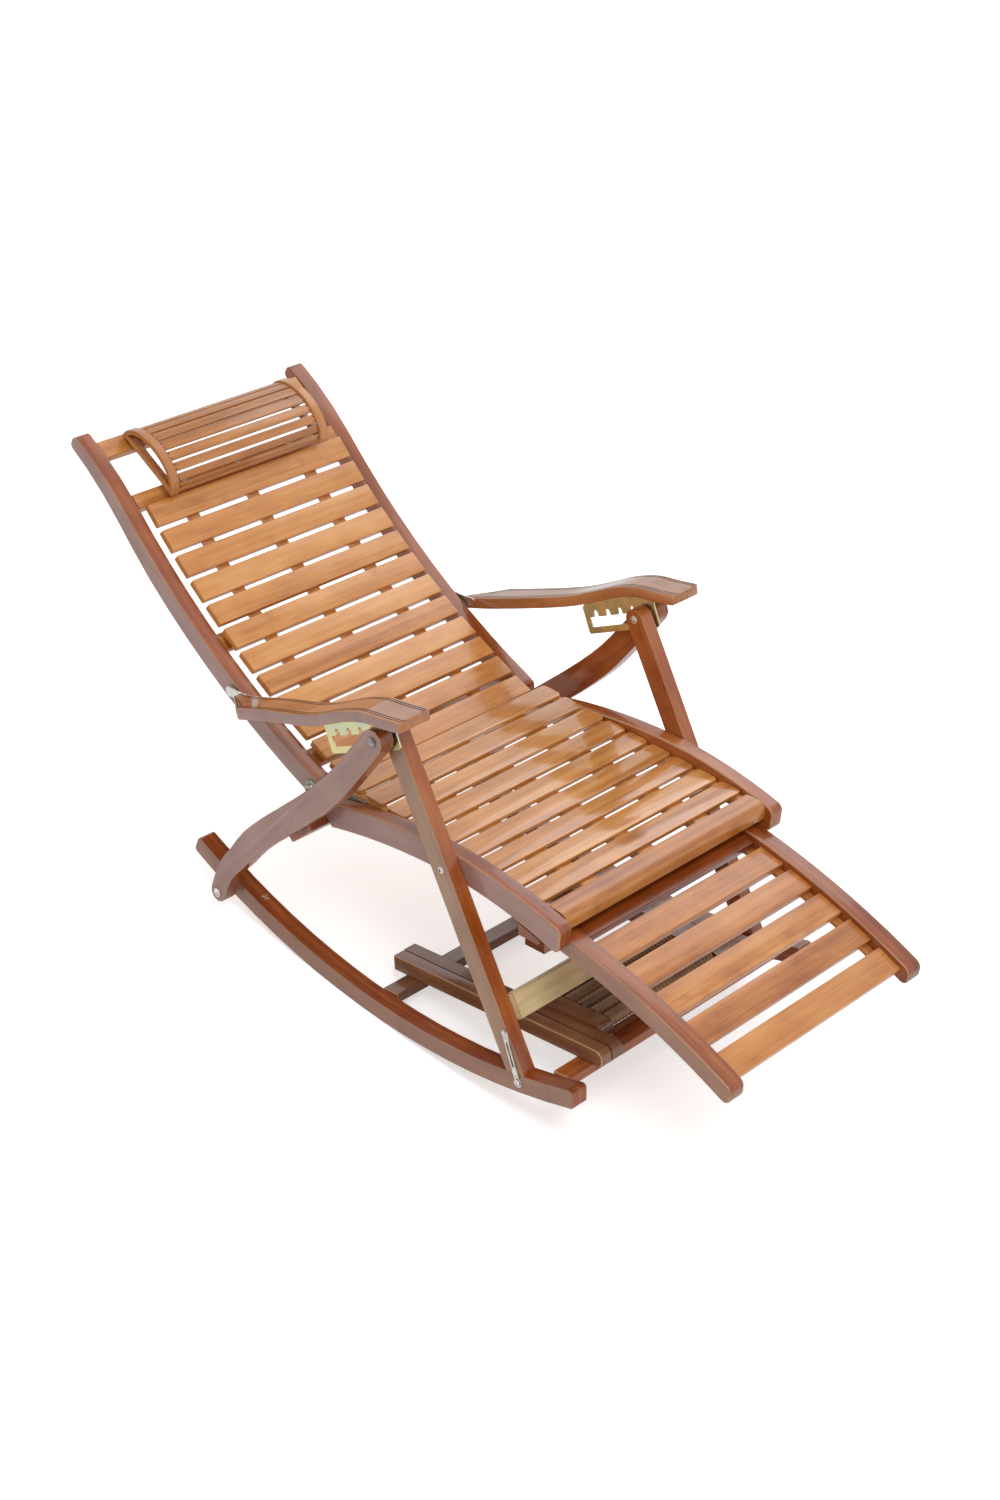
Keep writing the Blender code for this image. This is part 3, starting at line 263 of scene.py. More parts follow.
def smooth(me, sharp):
    """Smooth shading, but for edges sharper than that many degrees."""
    me.shade_smooth()
    me.set_sharp_from_angle(angle=radians(sharp))


def settle(ob):
    """Turns the evaluated shape into the object's own mesh, at the origin and shaded smooth."""
    me = evaluated(ob)
    me.transform(ob.matrix_world)
    ob.modifiers.clear()
    ob.data = me
    ob.matrix_world = Matrix.Identity(4)
    smooth(me, 50)
    return ob


slat_row = slat_tree()
slat_edge = 0.0011
random.seed(7)


def put_slats(name, places, length, width, thick, finish, corner=0.0015):
    """A row of slats: places are (y, z, tilt) of their middles."""
    given = {"Length": length, "Width": width, "Thickness": thick, "Corner": corner, "Finish": finish}
    ob = on_points(name, slat_row, [(0, *place) for place in places], given)
    tones = [random.random() for _ in places]
    ob.data.attributes.new("tone", 'FLOAT', 'POINT').data.foreach_set("value", tones)
    edge = ob.modifiers.new("eased", 'BEVEL')
    edge.width, edge.segments, edge.limit_method, edge.angle_limit = slat_edge, 3, 'ANGLE', radians(50)
    return settle(ob)


# sanded and lacquered once: amber, with fine fibres under a soft sheen
slat_bamboo = bamboo("amber_bamboo_slats", "A25C24", "CC8846", "E0A666", coat=0.4, fibres=0.26)
# a thicker gloss lacquer, which mirrors the room in long pale patches
seat_bamboo = bamboo("glossy_amber_bamboo_seat", "9A5820", "C8843E", "DEA45E",
                     rough=0.24, coat=1.0, fibres=0.26)
seat_pitch, seat_width, seat_long, seat_thick, seat_corner = 0.047, 0.0388, 0.4445, 0.0068, 0.007
seat_rear = 0.143                      # rear edge of the last slat
seat_fall = 0.084                      # the slats' plane rises by this much per metre to the rear
seat_tilt = atan2(seat_fall, 1)


def seat_top(y):
    """Height of the slats' top plane."""
    return -0.0604 - (0.135 - y) * seat_fall


seat_places = []
for i in range(9):
    y = seat_rear - seat_width / 2 - i * seat_pitch
    seat_places.append((y, seat_top(y) - seat_thick / 2, seat_tilt))
seat_slats = put_slats("seat_slats", seat_places, seat_long, seat_width, seat_thick, seat_bamboo, seat_corner)
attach(seat_slats, "seat_frame")


def open_mesh():
    """An empty mesh that keeps each point's grain and tone."""
    whole = bmesh.new()
    return whole, whole.verts.layers.float_vector.new("grain"), whole.verts.layers.float.new("tone")


def close_mesh(whole, name, finish):
    """Makes that mesh an object with one finish."""
    me = bpy.data.meshes.new(name)
    whole.to_mesh(me)
    whole.free()
    me.materials.append(finish)
    return linked(name, me)


def boards(name, boxes, finish):
    """Straight sticks as one piece: each is (centre, size, tilt), with its grain along its length."""
    whole, grain, tone = open_mesh()
    for centre, size, lift in boxes:
        t = random.random()
        long = max(range(3), key=lambda k: size[k])
        across, deep = [k for k in range(3) if k != long]
        for v in bmesh.ops.create_cube(whole, size=1.0)["verts"]:
            local = Vector([a * b for a, b in zip(v.co, size)])
            v[grain] = (local[long], local[across], local[deep])
            v[tone] = t
            v.co = to_room @ (Matrix.Translation(centre) @ Matrix.Rotation(lift, 4, 'X') @ local)
    ob = close_mesh(whole, name, finish)
    edge = ob.modifiers.new("eased", 'BEVEL')
    edge.width, edge.segments = 0.001, 2
    return settle(ob)


batten_x = 0.125
batten_front, batten_rear = -0.279, 0.1315
middle = (batten_front + batten_rear) / 2
span = (batten_rear - batten_front) / cos(seat_tilt)
level = seat_top(middle) - seat_thick
sticks = []
for x in (-batten_x, 0, batten_x):
    sticks.append(((x, middle, level - 0.0088), (0.030, span, 0.0172), seat_tilt))
for x in (-0.2165, 0.2165):
    sticks.append(((x, middle, level - 0.0096), (0.012, span, 0.0187), seat_tilt))
seat_battens = boards("seat_battens", sticks, slat_bamboo)
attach(seat_battens, "seat_frame")
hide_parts("seat_panel")

# Back: twelve bamboo slats, 38 by 12 mm, on a curve that is hollow over the loins and full below the
# neck. They are screwed from behind to three battens, made with the headrest's section.
slat_thick = 0.012
back_start, back_slope = (0.154, -0.067), radians(23.5)
loin_r, loin_len, neck_r = 1.30, 0.547, 0.60
back_pitch, back_width, back_long = 0.0465, 0.038, 0.408


def back_point(s):
    """Point and slope of the slats' front face, s metres up from their lower end."""
    (y, z), a = back_start, back_slope
    loin = (y - sin(a) * loin_r, z + cos(a) * loin_r)
    b = a + min(s, loin_len) / loin_r
    p = (loin[0] + sin(b) * loin_r, loin[1] - cos(b) * loin_r)
    if s <= loin_len:
        return p, b
    neck = (p[0] + sin(b) * neck_r, p[1] - cos(b) * neck_r)
    e = b - (s - loin_len) / neck_r
    return (neck[0] - sin(e) * neck_r, neck[1] + cos(e) * neck_r), e


def behind(s, depth):
    """The point at that depth below the slats' front face, and its slope."""
    (y, z), a = back_point(s)
    return (y + sin(a) * depth, z - cos(a) * depth, a)


back_places = [behind(back_width / 2 + (11 - i) * back_pitch, slat_thick / 2) for i in range(12)]
back_slats = put_slats("back_slats", back_places, back_long, back_width, slat_thick, slat_bamboo)
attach(back_slats, "back")
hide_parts(*["back_slat_%02d" % (i + 1) for i in range(12)])

# Back rails and top crossbar. The rails, like the legs and rockers below, are sawn from thick
# laminated bamboo and lacquered, so the strips follow each board, and its edges are paler as a painted
# highlight.
# A copy of the CAD board keeps its shape and gets its grain measured along the board.


def follow(path, y, z):
    """Length along a side-view path, and the distance from it."""
    best = None
    run = 0.0
    for (ay, az), (by, bz) in zip(path, path[1:]):
        dy, dz = by - ay, bz - az
        n = hypot(dy, dz)
        t = ((y - ay) * dy + (z - az) * dz) / (n * n)
        near = t if len(path) == 2 else max(0.0, min(1.0, t))
        d = hypot(y - ay - near * dy, z - az - near * dz)
        if best is None or d < best[0]:
            best = (d, run + t * n, ((y - ay) * dz - (z - az) * dy) / n)
        run += n
    return best[1], best[2]


def shaped(node_name, finish, path=None, flat='x', sharp=60, outer=None):
    """A smooth-edged copy of a CAD solid. path is its middle line in side view; without one the
    board runs across the chair. flat is the direction in which its strips are stacked, and outer a
    second finish for the face that looks away from the chair's middle. Metal keeps one finish."""
    src = frame["nodes"][node_name]
    me = src.data.copy()
    me.name = node_name + "_shown"
    bm = bmesh.new()
    bm.from_mesh(me)
    bmesh.ops.remove_doubles(bm, verts=bm.verts, dist=0.00002)
    bmesh.ops.dissolve_limit(bm, angle_limit=radians(0.3), verts=bm.verts, edges=bm.edges)
    grain = bm.verts.layers.float_vector.new("grain")
    tone = bm.verts.layers.float.new("tone")
    t = random.random()
    for v in bm.verts:
        p = to_chair @ v.co
        if path:
            s, off = follow(path, p.y, p.z)
            v[grain] = (s, off, p.x) if flat == 'x' else (s, p.x, off)
        else:
            v[grain] = (p.x, p.y, p.z) if flat == 'x' else (p.x, p.z, p.y)
        v[tone] = t
    bm.to_mesh(me)
    bm.free()
    me.materials.clear()
    me.materials.append(finish)
    if not finish.name.endswith("plate"):
        me.materials.append(outer or finish)
        me.materials.append(highlight_edge_bamboo)
        for face in me.polygons:
            # chamfer faces: the edges' painted highlight
            if 0.35 < abs(face.normal.x) < 0.93:
                face.material_index = 2
            # faces turned outwards: the outer finish, which paints a sheen
            elif face.normal.x * (1 if face.center.x > 0 else -1) > 0.75:
                face.material_index = 1
    ob = linked(node_name + "_shown", me)
    smooth(me, sharp)
    even = ob.modifiers.new("even", 'WEIGHTED_NORMAL')
    even.keep_sharp, even.weight = True, 100
    ob.data = evaluated(ob)
    ob.modifiers.clear()
    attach(ob, src["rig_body"])
    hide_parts(node_name)
    return ob


frame_strips = {"strip": 0.0075, "knot": 0.31}
dulled = {"rough": 0.34, "coat": 0.6, "streaks": 0.16, "fibres": 0.12}
# painted highlight on the chamfered edges: paler and smoother than the faces
highlight_edge_bamboo = bamboo("pale_painted_highlight_bamboo_edge", "7E4E30", "A87450", "C69A76", **frame_strips,
                     rough=0.22, coat=0.7)
# stained red-brown and lacquered: thin strips on edge, few pale streaks
red_bamboo = bamboo("red_amber_bamboo_frame", "5A2409", "934717", "BC7233", **frame_strips,
                    rough=0.26, streaks=0.20)
# painted sheen on the outer faces: the white room's reflection painted in, greyer and duller, with little
# fibre showing
sheen_outer_bamboo = bamboo("grey_painted_sheen_bamboo_outer", "78544A", "946E62", "AC8E82", **frame_strips, **dulled)
back_line = [behind(0.712 * i / 24, 0.031)[:2] for i in range(25)]
for side in ("left", "right"):
    shaped("back_rail_" + side, red_bamboo, back_line, 'y', outer=sheen_outer_bamboo)
shaped("head_crossbar", slat_bamboo)

# Back's battens and crossbars: three bamboo battens bent to the slats' curve, two crossbars behind
# them and the neck bar above them, all screwed together and let into the back rails at their ends.


def lofted(name, runs, finish, sharp=40):
    """Pieces skinned over sections: each run is a list of stations (point, a, b, along, outline),
    the outline's points (p, q) standing at point + a * p + b * q in the chair's frame."""
    whole, grain, tone = open_mesh()
    for run in runs:
        t = random.random()
        rows = []
        for point, a, b, along, outline in run:
            row = []
            for p, q in outline:
                v = whole.verts.new(to_room @ (Vector(point) + Vector(a) * p + Vector(b) * q))
                v[grain] = (along, p, q)
                v[tone] = t
                row.append(v)
            rows.append(row)
        n = len(rows[0])
        for low, high in zip(rows, rows[1:]):
            for i in range(n):
                whole.faces.new((low[i], low[(i + 1) % n], high[(i + 1) % n], high[i]))
        whole.faces.new(rows[0][::-1])
        whole.faces.new(rows[-1])
    bmesh.ops.recalc_face_normals(whole, faces=whole.faces)
    ob = close_mesh(whole, name, finish)
    smooth(ob.data, sharp)
    return ob


def eased(width, height, r=0.001):
    """A rectangle with broken corners, about its middle."""
    w, h = width / 2, height / 2
    return [(-w + r, -h), (w - r, -h), (w, -h + r), (w, h - r),
            (w - r, h), (-w + r, h), (-w, h - r), (-w, -h + r)]


def along_slope(a):
    return (0, cos(a), sin(a))


def off_slope(a):
    return (0, -sin(a), cos(a))


crossways = (1, 0, 0)
batten_low, batten_long, batten_depth = 0.012, 0.548, 0.0186
bar_half, neck_bar_s = 0.2107, 0.5648
battens = []
for x in (-batten_x, 0, batten_x):
    run = []
    for k in range(25):
        s = batten_low + batten_long * k / 24
        y, z, a = behind(s, batten_depth)
        run.append(((x, y, z), crossways, off_slope(a), s, eased(0.019, 0.012)))
    battens.append(run)
for s, depth, tall, thick in ((0.071, 0.0306, 0.031, 0.0130), (0.307, 0.0306, 0.031, 0.0130),
                              (neck_bar_s, 0.026, 0.0255, 0.022)):
    y, z, a = behind(s, depth)
    battens.append([((x, y, z), along_slope(a), off_slope(a), x, eased(tall, thick))
                    for x in (-bar_half, bar_half)])
back_battens = lofted("back_battens", battens, slat_bamboo)
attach(back_battens, "back")
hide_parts("back_frame")

# Headrest: a half round of nine thin bamboo slats, let into two bent hoops and pinned there with
# blued nails. A strip along both edges and a chord at each end tie the hoops, and three clips hold
# the whole to the neck bar.
head_y, head_z, head_slope = 0.645, 0.292, radians(31.7)
head_half, head_len, head_high, hoop_thick, hoop_wide, hoop_long = 0.165, 0.068, 0.043, 0.009, 0.016, 0.16


def on_head(t, n):
    """A point t metres up the headrest's base line and n metres out of it."""
    return (head_y + cos(head_slope) * t - sin(head_slope) * n,
            head_z + sin(head_slope) * t + cos(head_slope) * n)


def head_arc(angle, grow):
    """A point of the half round, which may lie outside or inside the hoops' outer face."""
    return on_head(cos(angle) * (head_len + grow), sin(angle) * (head_high + grow))


hoops = []
for x in (-head_half + hoop_wide / 2, head_half - hoop_wide / 2):
    run = []
    for k in range(33):
        a = pi * k / 32
        inner, outer = head_arc(a, -hoop_thick), head_arc(a, 0)
        out = Vector((0, outer[0] - inner[0], outer[1] - inner[1])) / hoop_thick
        centre = (x, (inner[0] + outer[0]) / 2, (inner[1] + outer[1]) / 2)
        run.append((centre, crossways, out, hoop_long * k / 32, eased(hoop_wide, hoop_thick, 0.0012)))
    hoops.append(run)
# bent from thin layers: a clear orange with close glue lines
hoop_bamboo = bamboo("orange_bamboo_hoops", "8A4E20", "B8763B", "D1965A", strip=0.004, rough=0.25, coat=0.6)
# split thin and painted a little darker as shade, so the slats look shaded
shade_head_bamboo = bamboo("painted_shade_bamboo_head_slats", "83491C", "B07038", "CB8E50", strip=0.009, coat=0.4)
head_hoops = lofted("head_hoops", hoops, hoop_bamboo)

head_step, head_gap, nudge = pi / 9.6, 0.0036, 0.05
pin_x, pin_inset, pin_lift = 0.1465, 0.0035, 0.0021
sticks, pins = [], []
for i in range(9):
    a = pi / 2 + (i - 4) * head_step
    y, z = head_arc(a, -hoop_thick / 2 - 0.0006)
    q0, q1 = head_arc(a - nudge, -hoop_thick / 2), head_arc(a + nudge, -hoop_thick / 2)
    tilt = atan2(q0[1] - q1[1], q0[0] - q1[0])
    wide = hypot(q1[0] - q0[0], q1[1] - q0[1]) * head_step / (2 * nudge) - head_gap
    sticks.append(((0, y, z), (2 * head_half - 0.018, wide, 0.0040), tilt))
    for x in (-pin_x, pin_x):
        for off in (-wide / 2 + pin_inset, wide / 2 - pin_inset):
            pins.append((x, y + cos(tilt) * off - sin(tilt) * pin_lift,
                         z + sin(tilt) * off + cos(tilt) * pin_lift, tilt))
for t in (-head_len + 0.008, head_len - 0.008):
    sticks.append(((0, *on_head(t, 0.0035)), (2 * head_half - 0.006, 0.012, 0.0066), head_slope))
for x in (-head_half + 0.0075, head_half - 0.0075):
    sticks.append(((x, *on_head(0, 0.0035)), (0.0145, 2 * head_len - 0.006, 0.0068), head_slope))
clip_top = Vector(on_head(-head_len + 0.006, 0.001))
clip_foot = Vector(behind(0.5715, 0.0135)[:2])
clip = clip_foot - clip_top
for x in (-0.11, 0, 0.11):
    sticks.append(((x, *(clip_top + clip / 2)), (0.012, clip.length, 0.004), atan2(clip.y, clip.x)))
head_slats = boards("head_slats", sticks, shade_head_bamboo)
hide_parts("headrest")


def stud_tree():
    """Small round heads."""
    g, given = open_tree("stud_row", (("Radius", 0.0012), ("Height", 0.001)))
    head = node(g, "GeometryNodeMeshCylinder",
                {"Vertices": 10, "Radius": given["Radius"], "Depth": given["Height"]})
    return close_tree(g, given, head.outputs[0])


def speckled(name, one, two, rough, metal, size):
    """A finish with fine mottling, as heat leaves on blued steel."""
    mat, t, out = new_finish(name)
    where = node(t, "ShaderNodeTexCoord").outputs["Object"]
    dots = node(t, "ShaderNodeTexNoise", {"Vector": where, "Scale": size, "Detail": 2.0}).outputs["Fac"]
    colour = node(t, "ShaderNodeValToRGB", {0: dots}, [(0.35, one), (0.65, two)])
    sheen = node(t, "ShaderNodeMapRange", {"Value": dots, "To Min": rough - 0.08, "To Max": rough + 0.08})
    t.links.new(colour.outputs[0], out.inputs["Base Color"])
    t.links.new(sheen.outputs[0], out.inputs["Roughness"])
    out.inputs["Metallic"].default_value = metal
    return mat


# nail heads blued by heat: dark, brownish and nearly matt; the same finish paints the shade in the bolts'
# sockets
blued_steel_and_socket_shade = speckled("blued_nails_and_painted_socket_shade", "2A211C", "4A3A30", 0.45, 0.6, 600.0)
nail = {"Radius": 0.0011, "Height": 0.0008, "Finish": blued_steel_and_socket_shade}
head_pins = settle(on_points("head_pins", stud_tree(), pins, nail))
for piece, slot in ((head_hoops, "slat_wood"), (head_slats, "slat_wood"), (head_pins, "bright_steel")):
    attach(piece, "back")

# Seat frame: two arched side rails of red-brown bamboo, the rounded front rail between their ends,
# which carries the knees in the tenth slat's place, and the footrest's guide screwed on below.


def arc_path(centre, r, y0, y1, n=24, side=1):
    """Points of an arc in side view from y0 to y1, above its centre or, with side -1, below it."""
    out = []
    for i in range(n + 1):
        y = y0 + (y1 - y0) * i / n
        out.append((y, centre[1] + side * sqrt(r * r - (y - centre[0]) ** 2)))
    return out


seat_arc, seat_r = (-0.080, -0.855), 0.790
seat_rear_arc, seat_rear_r = (-0.080, -1.185), 1.12
rail_half = 0.021
seat_line = (arc_path(seat_arc, seat_r - rail_half, -0.34, -0.08, 12)
             + arc_path(seat_rear_arc, seat_rear_r - rail_half, -0.08, 0.18, 12)[1:])
for side in ("left", "right"):
    shaped("seat_rail_" + side, red_bamboo, seat_line, 'y', outer=sheen_outer_bamboo)


def quarter(p, q, r, start, n):
    """A quarter circle's points about (p, q)."""
    turns = [start + pi / 2 * k / n for k in range(n + 1)]
    return [(p + r * cos(a), q + r * sin(a)) for a in turns]


roll_half, roll_rise, roll_round, roll_under = 0.0195, 0.015, 0.014, 0.006
outline = [(roll_half - 0.002, -roll_rise), (roll_half, -roll_rise + 0.002),
           (roll_half, roll_rise - 0.0015), (roll_half - 0.0015, roll_rise)]
outline += quarter(roll_round - roll_half, roll_rise - roll_round, roll_round, pi / 2, 8)
outline += quarter(roll_under - roll_half, roll_under - roll_rise, roll_under, pi, 4)
roll_y = -0.300
roll_at = (roll_y, seat_top(roll_y) - roll_rise)
roll_run = [((x, *roll_at), along_slope(seat_tilt), off_slope(seat_tilt), x, outline)
            for x in (-0.222, 0.222)]
# stained orange, between the seat's amber and the frame's red
front_bamboo = bamboo("orange_bamboo_front_rail", "7A3C12", "B26C2C", "D09048", **frame_strips)
knee_roll = lofted("knee_roll_shown", [roll_run], front_bamboo)
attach(knee_roll, "seat_frame")
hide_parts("knee_roll")
shaped("footrest_guide", red_bamboo)

# Legs: the S-shaped rear pair and the straight front pair, of laminated bamboo, cross below the
# armrests and turn on a bolt there. The rear stretcher carries the seat rails. The board at the
# front legs' feet is plain olive-toned bamboo.
crossing, rocker_pivot = (-0.021, 0.1013), (0.349, -0.308)
rear_line = [crossing, (0.0406, 0.0225), (0.082, -0.024), (0.1409, -0.0779), (0.2119, -0.1369),
             (0.262, -0.182), (0.297, -0.2238), (0.3269, -0.2592), rocker_pivot]
front_line = [crossing, (-0.262, -0.348)]
# the front legs' outer faces: the bamboo's own olive under a painted grey sheen
sheen_leg_outer = bamboo("olive_painted_sheen_bamboo_outer", "6C4832", "8E664A", "AC8868", **frame_strips, **dulled)
# bare bamboo under clear lacquer: pale, straw to olive
olive_bamboo = bamboo("olive_bamboo_board", "A48A5A", "CDB888", "E6DAB8", strip=0.012, knot=0.2, rough=0.3)
for side in ("left", "right"):
    shaped("rear_leg_" + side, red_bamboo, rear_line, outer=sheen_outer_bamboo)
    shaped("front_leg_" + side, red_bamboo, front_line, outer=sheen_leg_outer)
shaped("rear_stretcher", red_bamboo)
shaped("kick_board", olive_bamboo)

# Rockers and base: two runners of bent laminated bamboo, two crossbars bolted between them, and on
# these the long outer bars and the foot massager's frame, in bamboo painted darker as shade below the seat.
rocker_arc, rocker_r, rocker_half = (-0.082, 0.712), 1.110, 0.015
rocker_line = arc_path(rocker_arc, rocker_r, -0.40, 0.46, 30, -1)
bar_line = [(0.065, -0.364), (-0.370, -0.3355)]
# outer faces of rockers and footrest rails: brown and half dull, greyed by a painted sheen
sheen_rocker_bamboo = bamboo("brown_painted_sheen_bamboo_rocker_face", "6A4230", "8F6249", "A9795C", **frame_strips,
                       rough=0.32, coat=0.6, streaks=0.18)
# the base's boards, painted dark brown as shade, so that they recede below the seat
shade_base_bamboo = bamboo("painted_shade_bamboo_base", "44220F", "744526", "99683F", **frame_strips, rough=0.3, coat=0.7)
for side in ("left", "right"):
    shaped("rocker_" + side, red_bamboo, rocker_line, 'y', outer=sheen_rocker_bamboo)
    shaped("base_bar_" + side, shade_base_bamboo, bar_line)
shaped("base_crossbar_front", red_bamboo)
shaped("base_crossbar_rear", shade_base_bamboo)
shaped("massager_frame", shade_base_bamboo, bar_line)

# Foot massager: five rollers turned from dark wood, each with a row of fine ribs. Each runs on its
# own steel axle between the massager's side bars.
# turned and oiled: broad grain, hardly any gloss
roller_wood = bamboo("dark_roller_wood", "3A2210", "7C5836", "A98660",
                     strip=0.03, knot=0.6, rough=0.4, coat=0.3)
disc = [(cos(tau * k / 20), sin(tau * k / 20)) for k in range(20)]


def turned(sign, y, z, line):
    """A run for lofted(): a profile of (x, radius) turned about an axis across the chair."""
    return [((sign * x, y, z), (0, 1, 0), (0, 0, 1), x, [(r * p, r * q) for p, q in disc]) for x, r in line]


ribs, roller_half, axle_half, axle_r, end_r = 30, 0.118, 0.127, 0.003, 0.0086
rib_shape = ((0.10, 0.0090), (0.30, 0.0110), (0.50, 0.0113), (0.70, 0.0110), (0.90, 0.0090))
bars_y, bars_z = 0.065, -0.377         # rear end of the side bars' underside
bar_fall = (-0.3485 - bars_z) / (-0.370 - bars_y)
bar_slant = hypot(1, bar_fall)
axle_rise = 0.020
line = [(-axle_half, axle_r), (-roller_half, axle_r), (-roller_half, end_r)]
for k in range(ribs):
    x = -roller_half + 2 * roller_half * k / ribs
    line += [(x + 2 * roller_half / ribs * f, r) for f, r in rib_shape]
line += [(roller_half, end_r), (roller_half, axle_r), (axle_half, axle_r)]
for i in range(5):
    y = -0.205 - 0.0262 * i
    z = bars_z + (y - bars_y) * bar_fall + axle_rise / bar_slant
    axle = (y - bar_fall / bar_slant * axle_rise, z)
    roller = lofted("roller_%d_shown" % (i + 1), [turned(1, *axle, line)], roller_wood, 50)
    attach(roller, frame["nodes"]["massage_roller_%d" % (i + 1)]["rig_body"])
    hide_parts("massage_roller_%d" % (i + 1))

# Footrest: two arched bamboo rails with six slats between them, the rearmost one wider and redder.
# The slats are screwed to a cleat along each rail, and the whole slides under the seat.
foot_arc, foot_line_r, foot_face = (-0.054, -1.367), 1.243, 1.250
foot_line = arc_path(foot_arc, foot_line_r, -0.64, -0.24)
for side in ("left", "right"):
    shaped("footrest_rail_" + side, red_bamboo, foot_line, 'y', outer=sheen_rocker_bamboo)
# as the back's slats, stained a little redder
foot_bamboo = bamboo("red_amber_bamboo", "945020", "C27C3E", "D89C5C", coat=0.4, fibres=0.26)


def on_foot(y, drop):
    """The point at y, that far below the slats' top face, and its slope."""
    a = asin((y - foot_arc[0]) / foot_face)
    return (foot_arc[0] + sin(a) * (foot_face - drop), foot_arc[1] + cos(a) * (foot_face - drop), -a)


foot_pitch, foot_long, foot_width, foot_last_width = 0.0566, 0.3774, 0.045, 0.060
foot_first = -0.625 + 0.013 + foot_width / 2
foot_last_y = foot_first + 5 * foot_pitch + (foot_last_width - foot_width) / 2
foot_slats = put_slats("foot_slats", [on_foot(foot_first + i * foot_pitch, slat_thick / 2) for i in range(5)],
                       foot_long, foot_width, slat_thick, foot_bamboo)
foot_last = put_slats("foot_last_slat", [on_foot(foot_last_y, slat_thick / 2)],
                      foot_long, foot_last_width, slat_thick, red_bamboo)
cleat_front, cleat_reach, cleat_long = -0.600, 0.338, 0.34
cleats = []
for x in (-0.1817, 0.1817):
    run = []
    for k in range(17):
        y, z, a = on_foot(cleat_front + cleat_reach * k / 16, slat_thick + 0.0047)
        run.append(((x, y, z), crossways, off_slope(a), cleat_long * k / 16, eased(0.0138, 0.0095)))
    cleats.append(run)
foot_cleats = lofted("foot_cleats", cleats, foot_bamboo)
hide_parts("footrest_panel")
for piece in (foot_slats, foot_last, foot_cleats):
    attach(piece, "footrest")

# Armrests: bamboo boards bent in an S, wider over the legs than at the back rails, polished, with
# two fine grooves routed along each long edge. The rear end is cut slantwise. A bracket holds each
# to its leg, and a steel strap to the back rail.
arm_line = [(-0.0905, 0.153), (-0.053, 0.1475), (-0.012, 0.1425), (0.0305, 0.128), (0.0735, 0.1065),
            (0.1175, 0.086), (0.1625, 0.070), (0.208, 0.0555), (0.254, 0.0405), (0.300, 0.0255),
            (0.350, 0.0118)]
arm_inner = [(-0.10, 0.259), (0.070, 0.259), (0.125, 0.2565), (0.170, 0.2508), (0.215, 0.2462),
             (0.270, 0.2446), (0.36, 0.2442)]
arm_outer = [(-0.10, 0.3228), (0.025, 0.3228), (0.065, 0.3210), (0.110, 0.3155), (0.155, 0.3085),
             (0.200, 0.3032), (0.245, 0.3006), (0.290, 0.3000)]


def bent(points, per=6):
    """Points along a smooth line through the given ones."""
    ends = [points[0]] + points + [points[-1]]
    line = []
    for a, b, c, d in zip(ends, ends[1:], ends[2:], ends[3:]):
        for k in range(per):
            t = k / per
            line.append(tuple(0.5 * (2 * q + (r - p) * t + (2 * p - 5 * q + 4 * r - s) * t * t
                                     + (3 * q - p - 3 * r + s) * t ** 3) for p, q, r, s in zip(a, b, c, d)))
    return line + [points[-1]]


def edge_at(points, y):
    """Distance of a plan line from the chair's middle, at y."""
    for (a, p), (b, q) in zip(points, points[1:]):
        if y <= b:
            return p + (q - p) * (y - a) / (b - a)
    return points[-1][1]


def heading(path, k):
    """Direction of a side-view path at its k-th point."""
    before, after = path[max(k - 1, 0)], path[min(k + 1, len(path) - 1)]
    return Vector((0, after[0] - before[0], after[1] - before[1])).normalized()


arm_thick, arm_swell, arm_corner, end_thin = 0.0172, 0.0018, 0.006, 0.0013
slant_y, slant_x, slant = 0.290, 0.3000, 0.78
groove_deep = 0.0012
top_edge = [(0.0, 0.0026), (0.0007, 0.0008), (0.0024, 0.0)]
for at in (0.0050, 0.0100):
    top_edge += [(at, 0.0), (at + 0.0003, groove_deep), (at + 0.0017, groove_deep), (at + 0.0020, 0.0)]
inner_line, outer_line = bent(arm_inner), bent(arm_outer)
path = bent(arm_line, 8)
last = len(path) - 1
runs = {1: [], -1: []}
along = 0.0
for k, (y, z) in enumerate(path):
    d = heading(path, k)
    if k:
        along += hypot(y - path[k - 1][0], z - path[k - 1][1])
    x0, x1 = edge_at(inner_line, y), edge_at(outer_line, y)
    if y > slant_y:
        x1 = slant_x - (y - slant_y) * slant
    thick = arm_thick + arm_swell * k / last
    pull = min(y - path[0][0], arm_corner)
    round_in = arm_corner - sqrt(max(0.0, arm_corner ** 2 - (arm_corner - pull) ** 2))
    x0, x1 = x0 + round_in, x1 - round_in
    thin = end_thin if k in (0, last) else 0.0
    squeeze = min(1.0, (x1 - x0) / 0.045)
    half = []
    for at, drop in [(0.0022, thick), (0.0006, thick - 0.0008), (0.0, thick - 0.0024)] + top_edge:
        half.append((at * squeeze, min(max(thick / 2 - drop, -thick / 2 + thin), thick / 2 - thin)))
    outline = [(x0 + a, h) for a, h in half] + [(x1 - a, h) for a, h in half[::-1]]
    for sign, run in runs.items():
        run.append(((0, y, z), (sign, 0, 0), (0, -d.z, d.y), along, outline))

# polished by hands: orange-brown, with the clearest gloss after the seat
arm_bamboo = bamboo("polished_orange_bamboo_arm", "74401C", "AA6936", "C99058", strip=0.009, knot=0.31,
                    rough=0.22, coat=0.7, streaks=0.20)
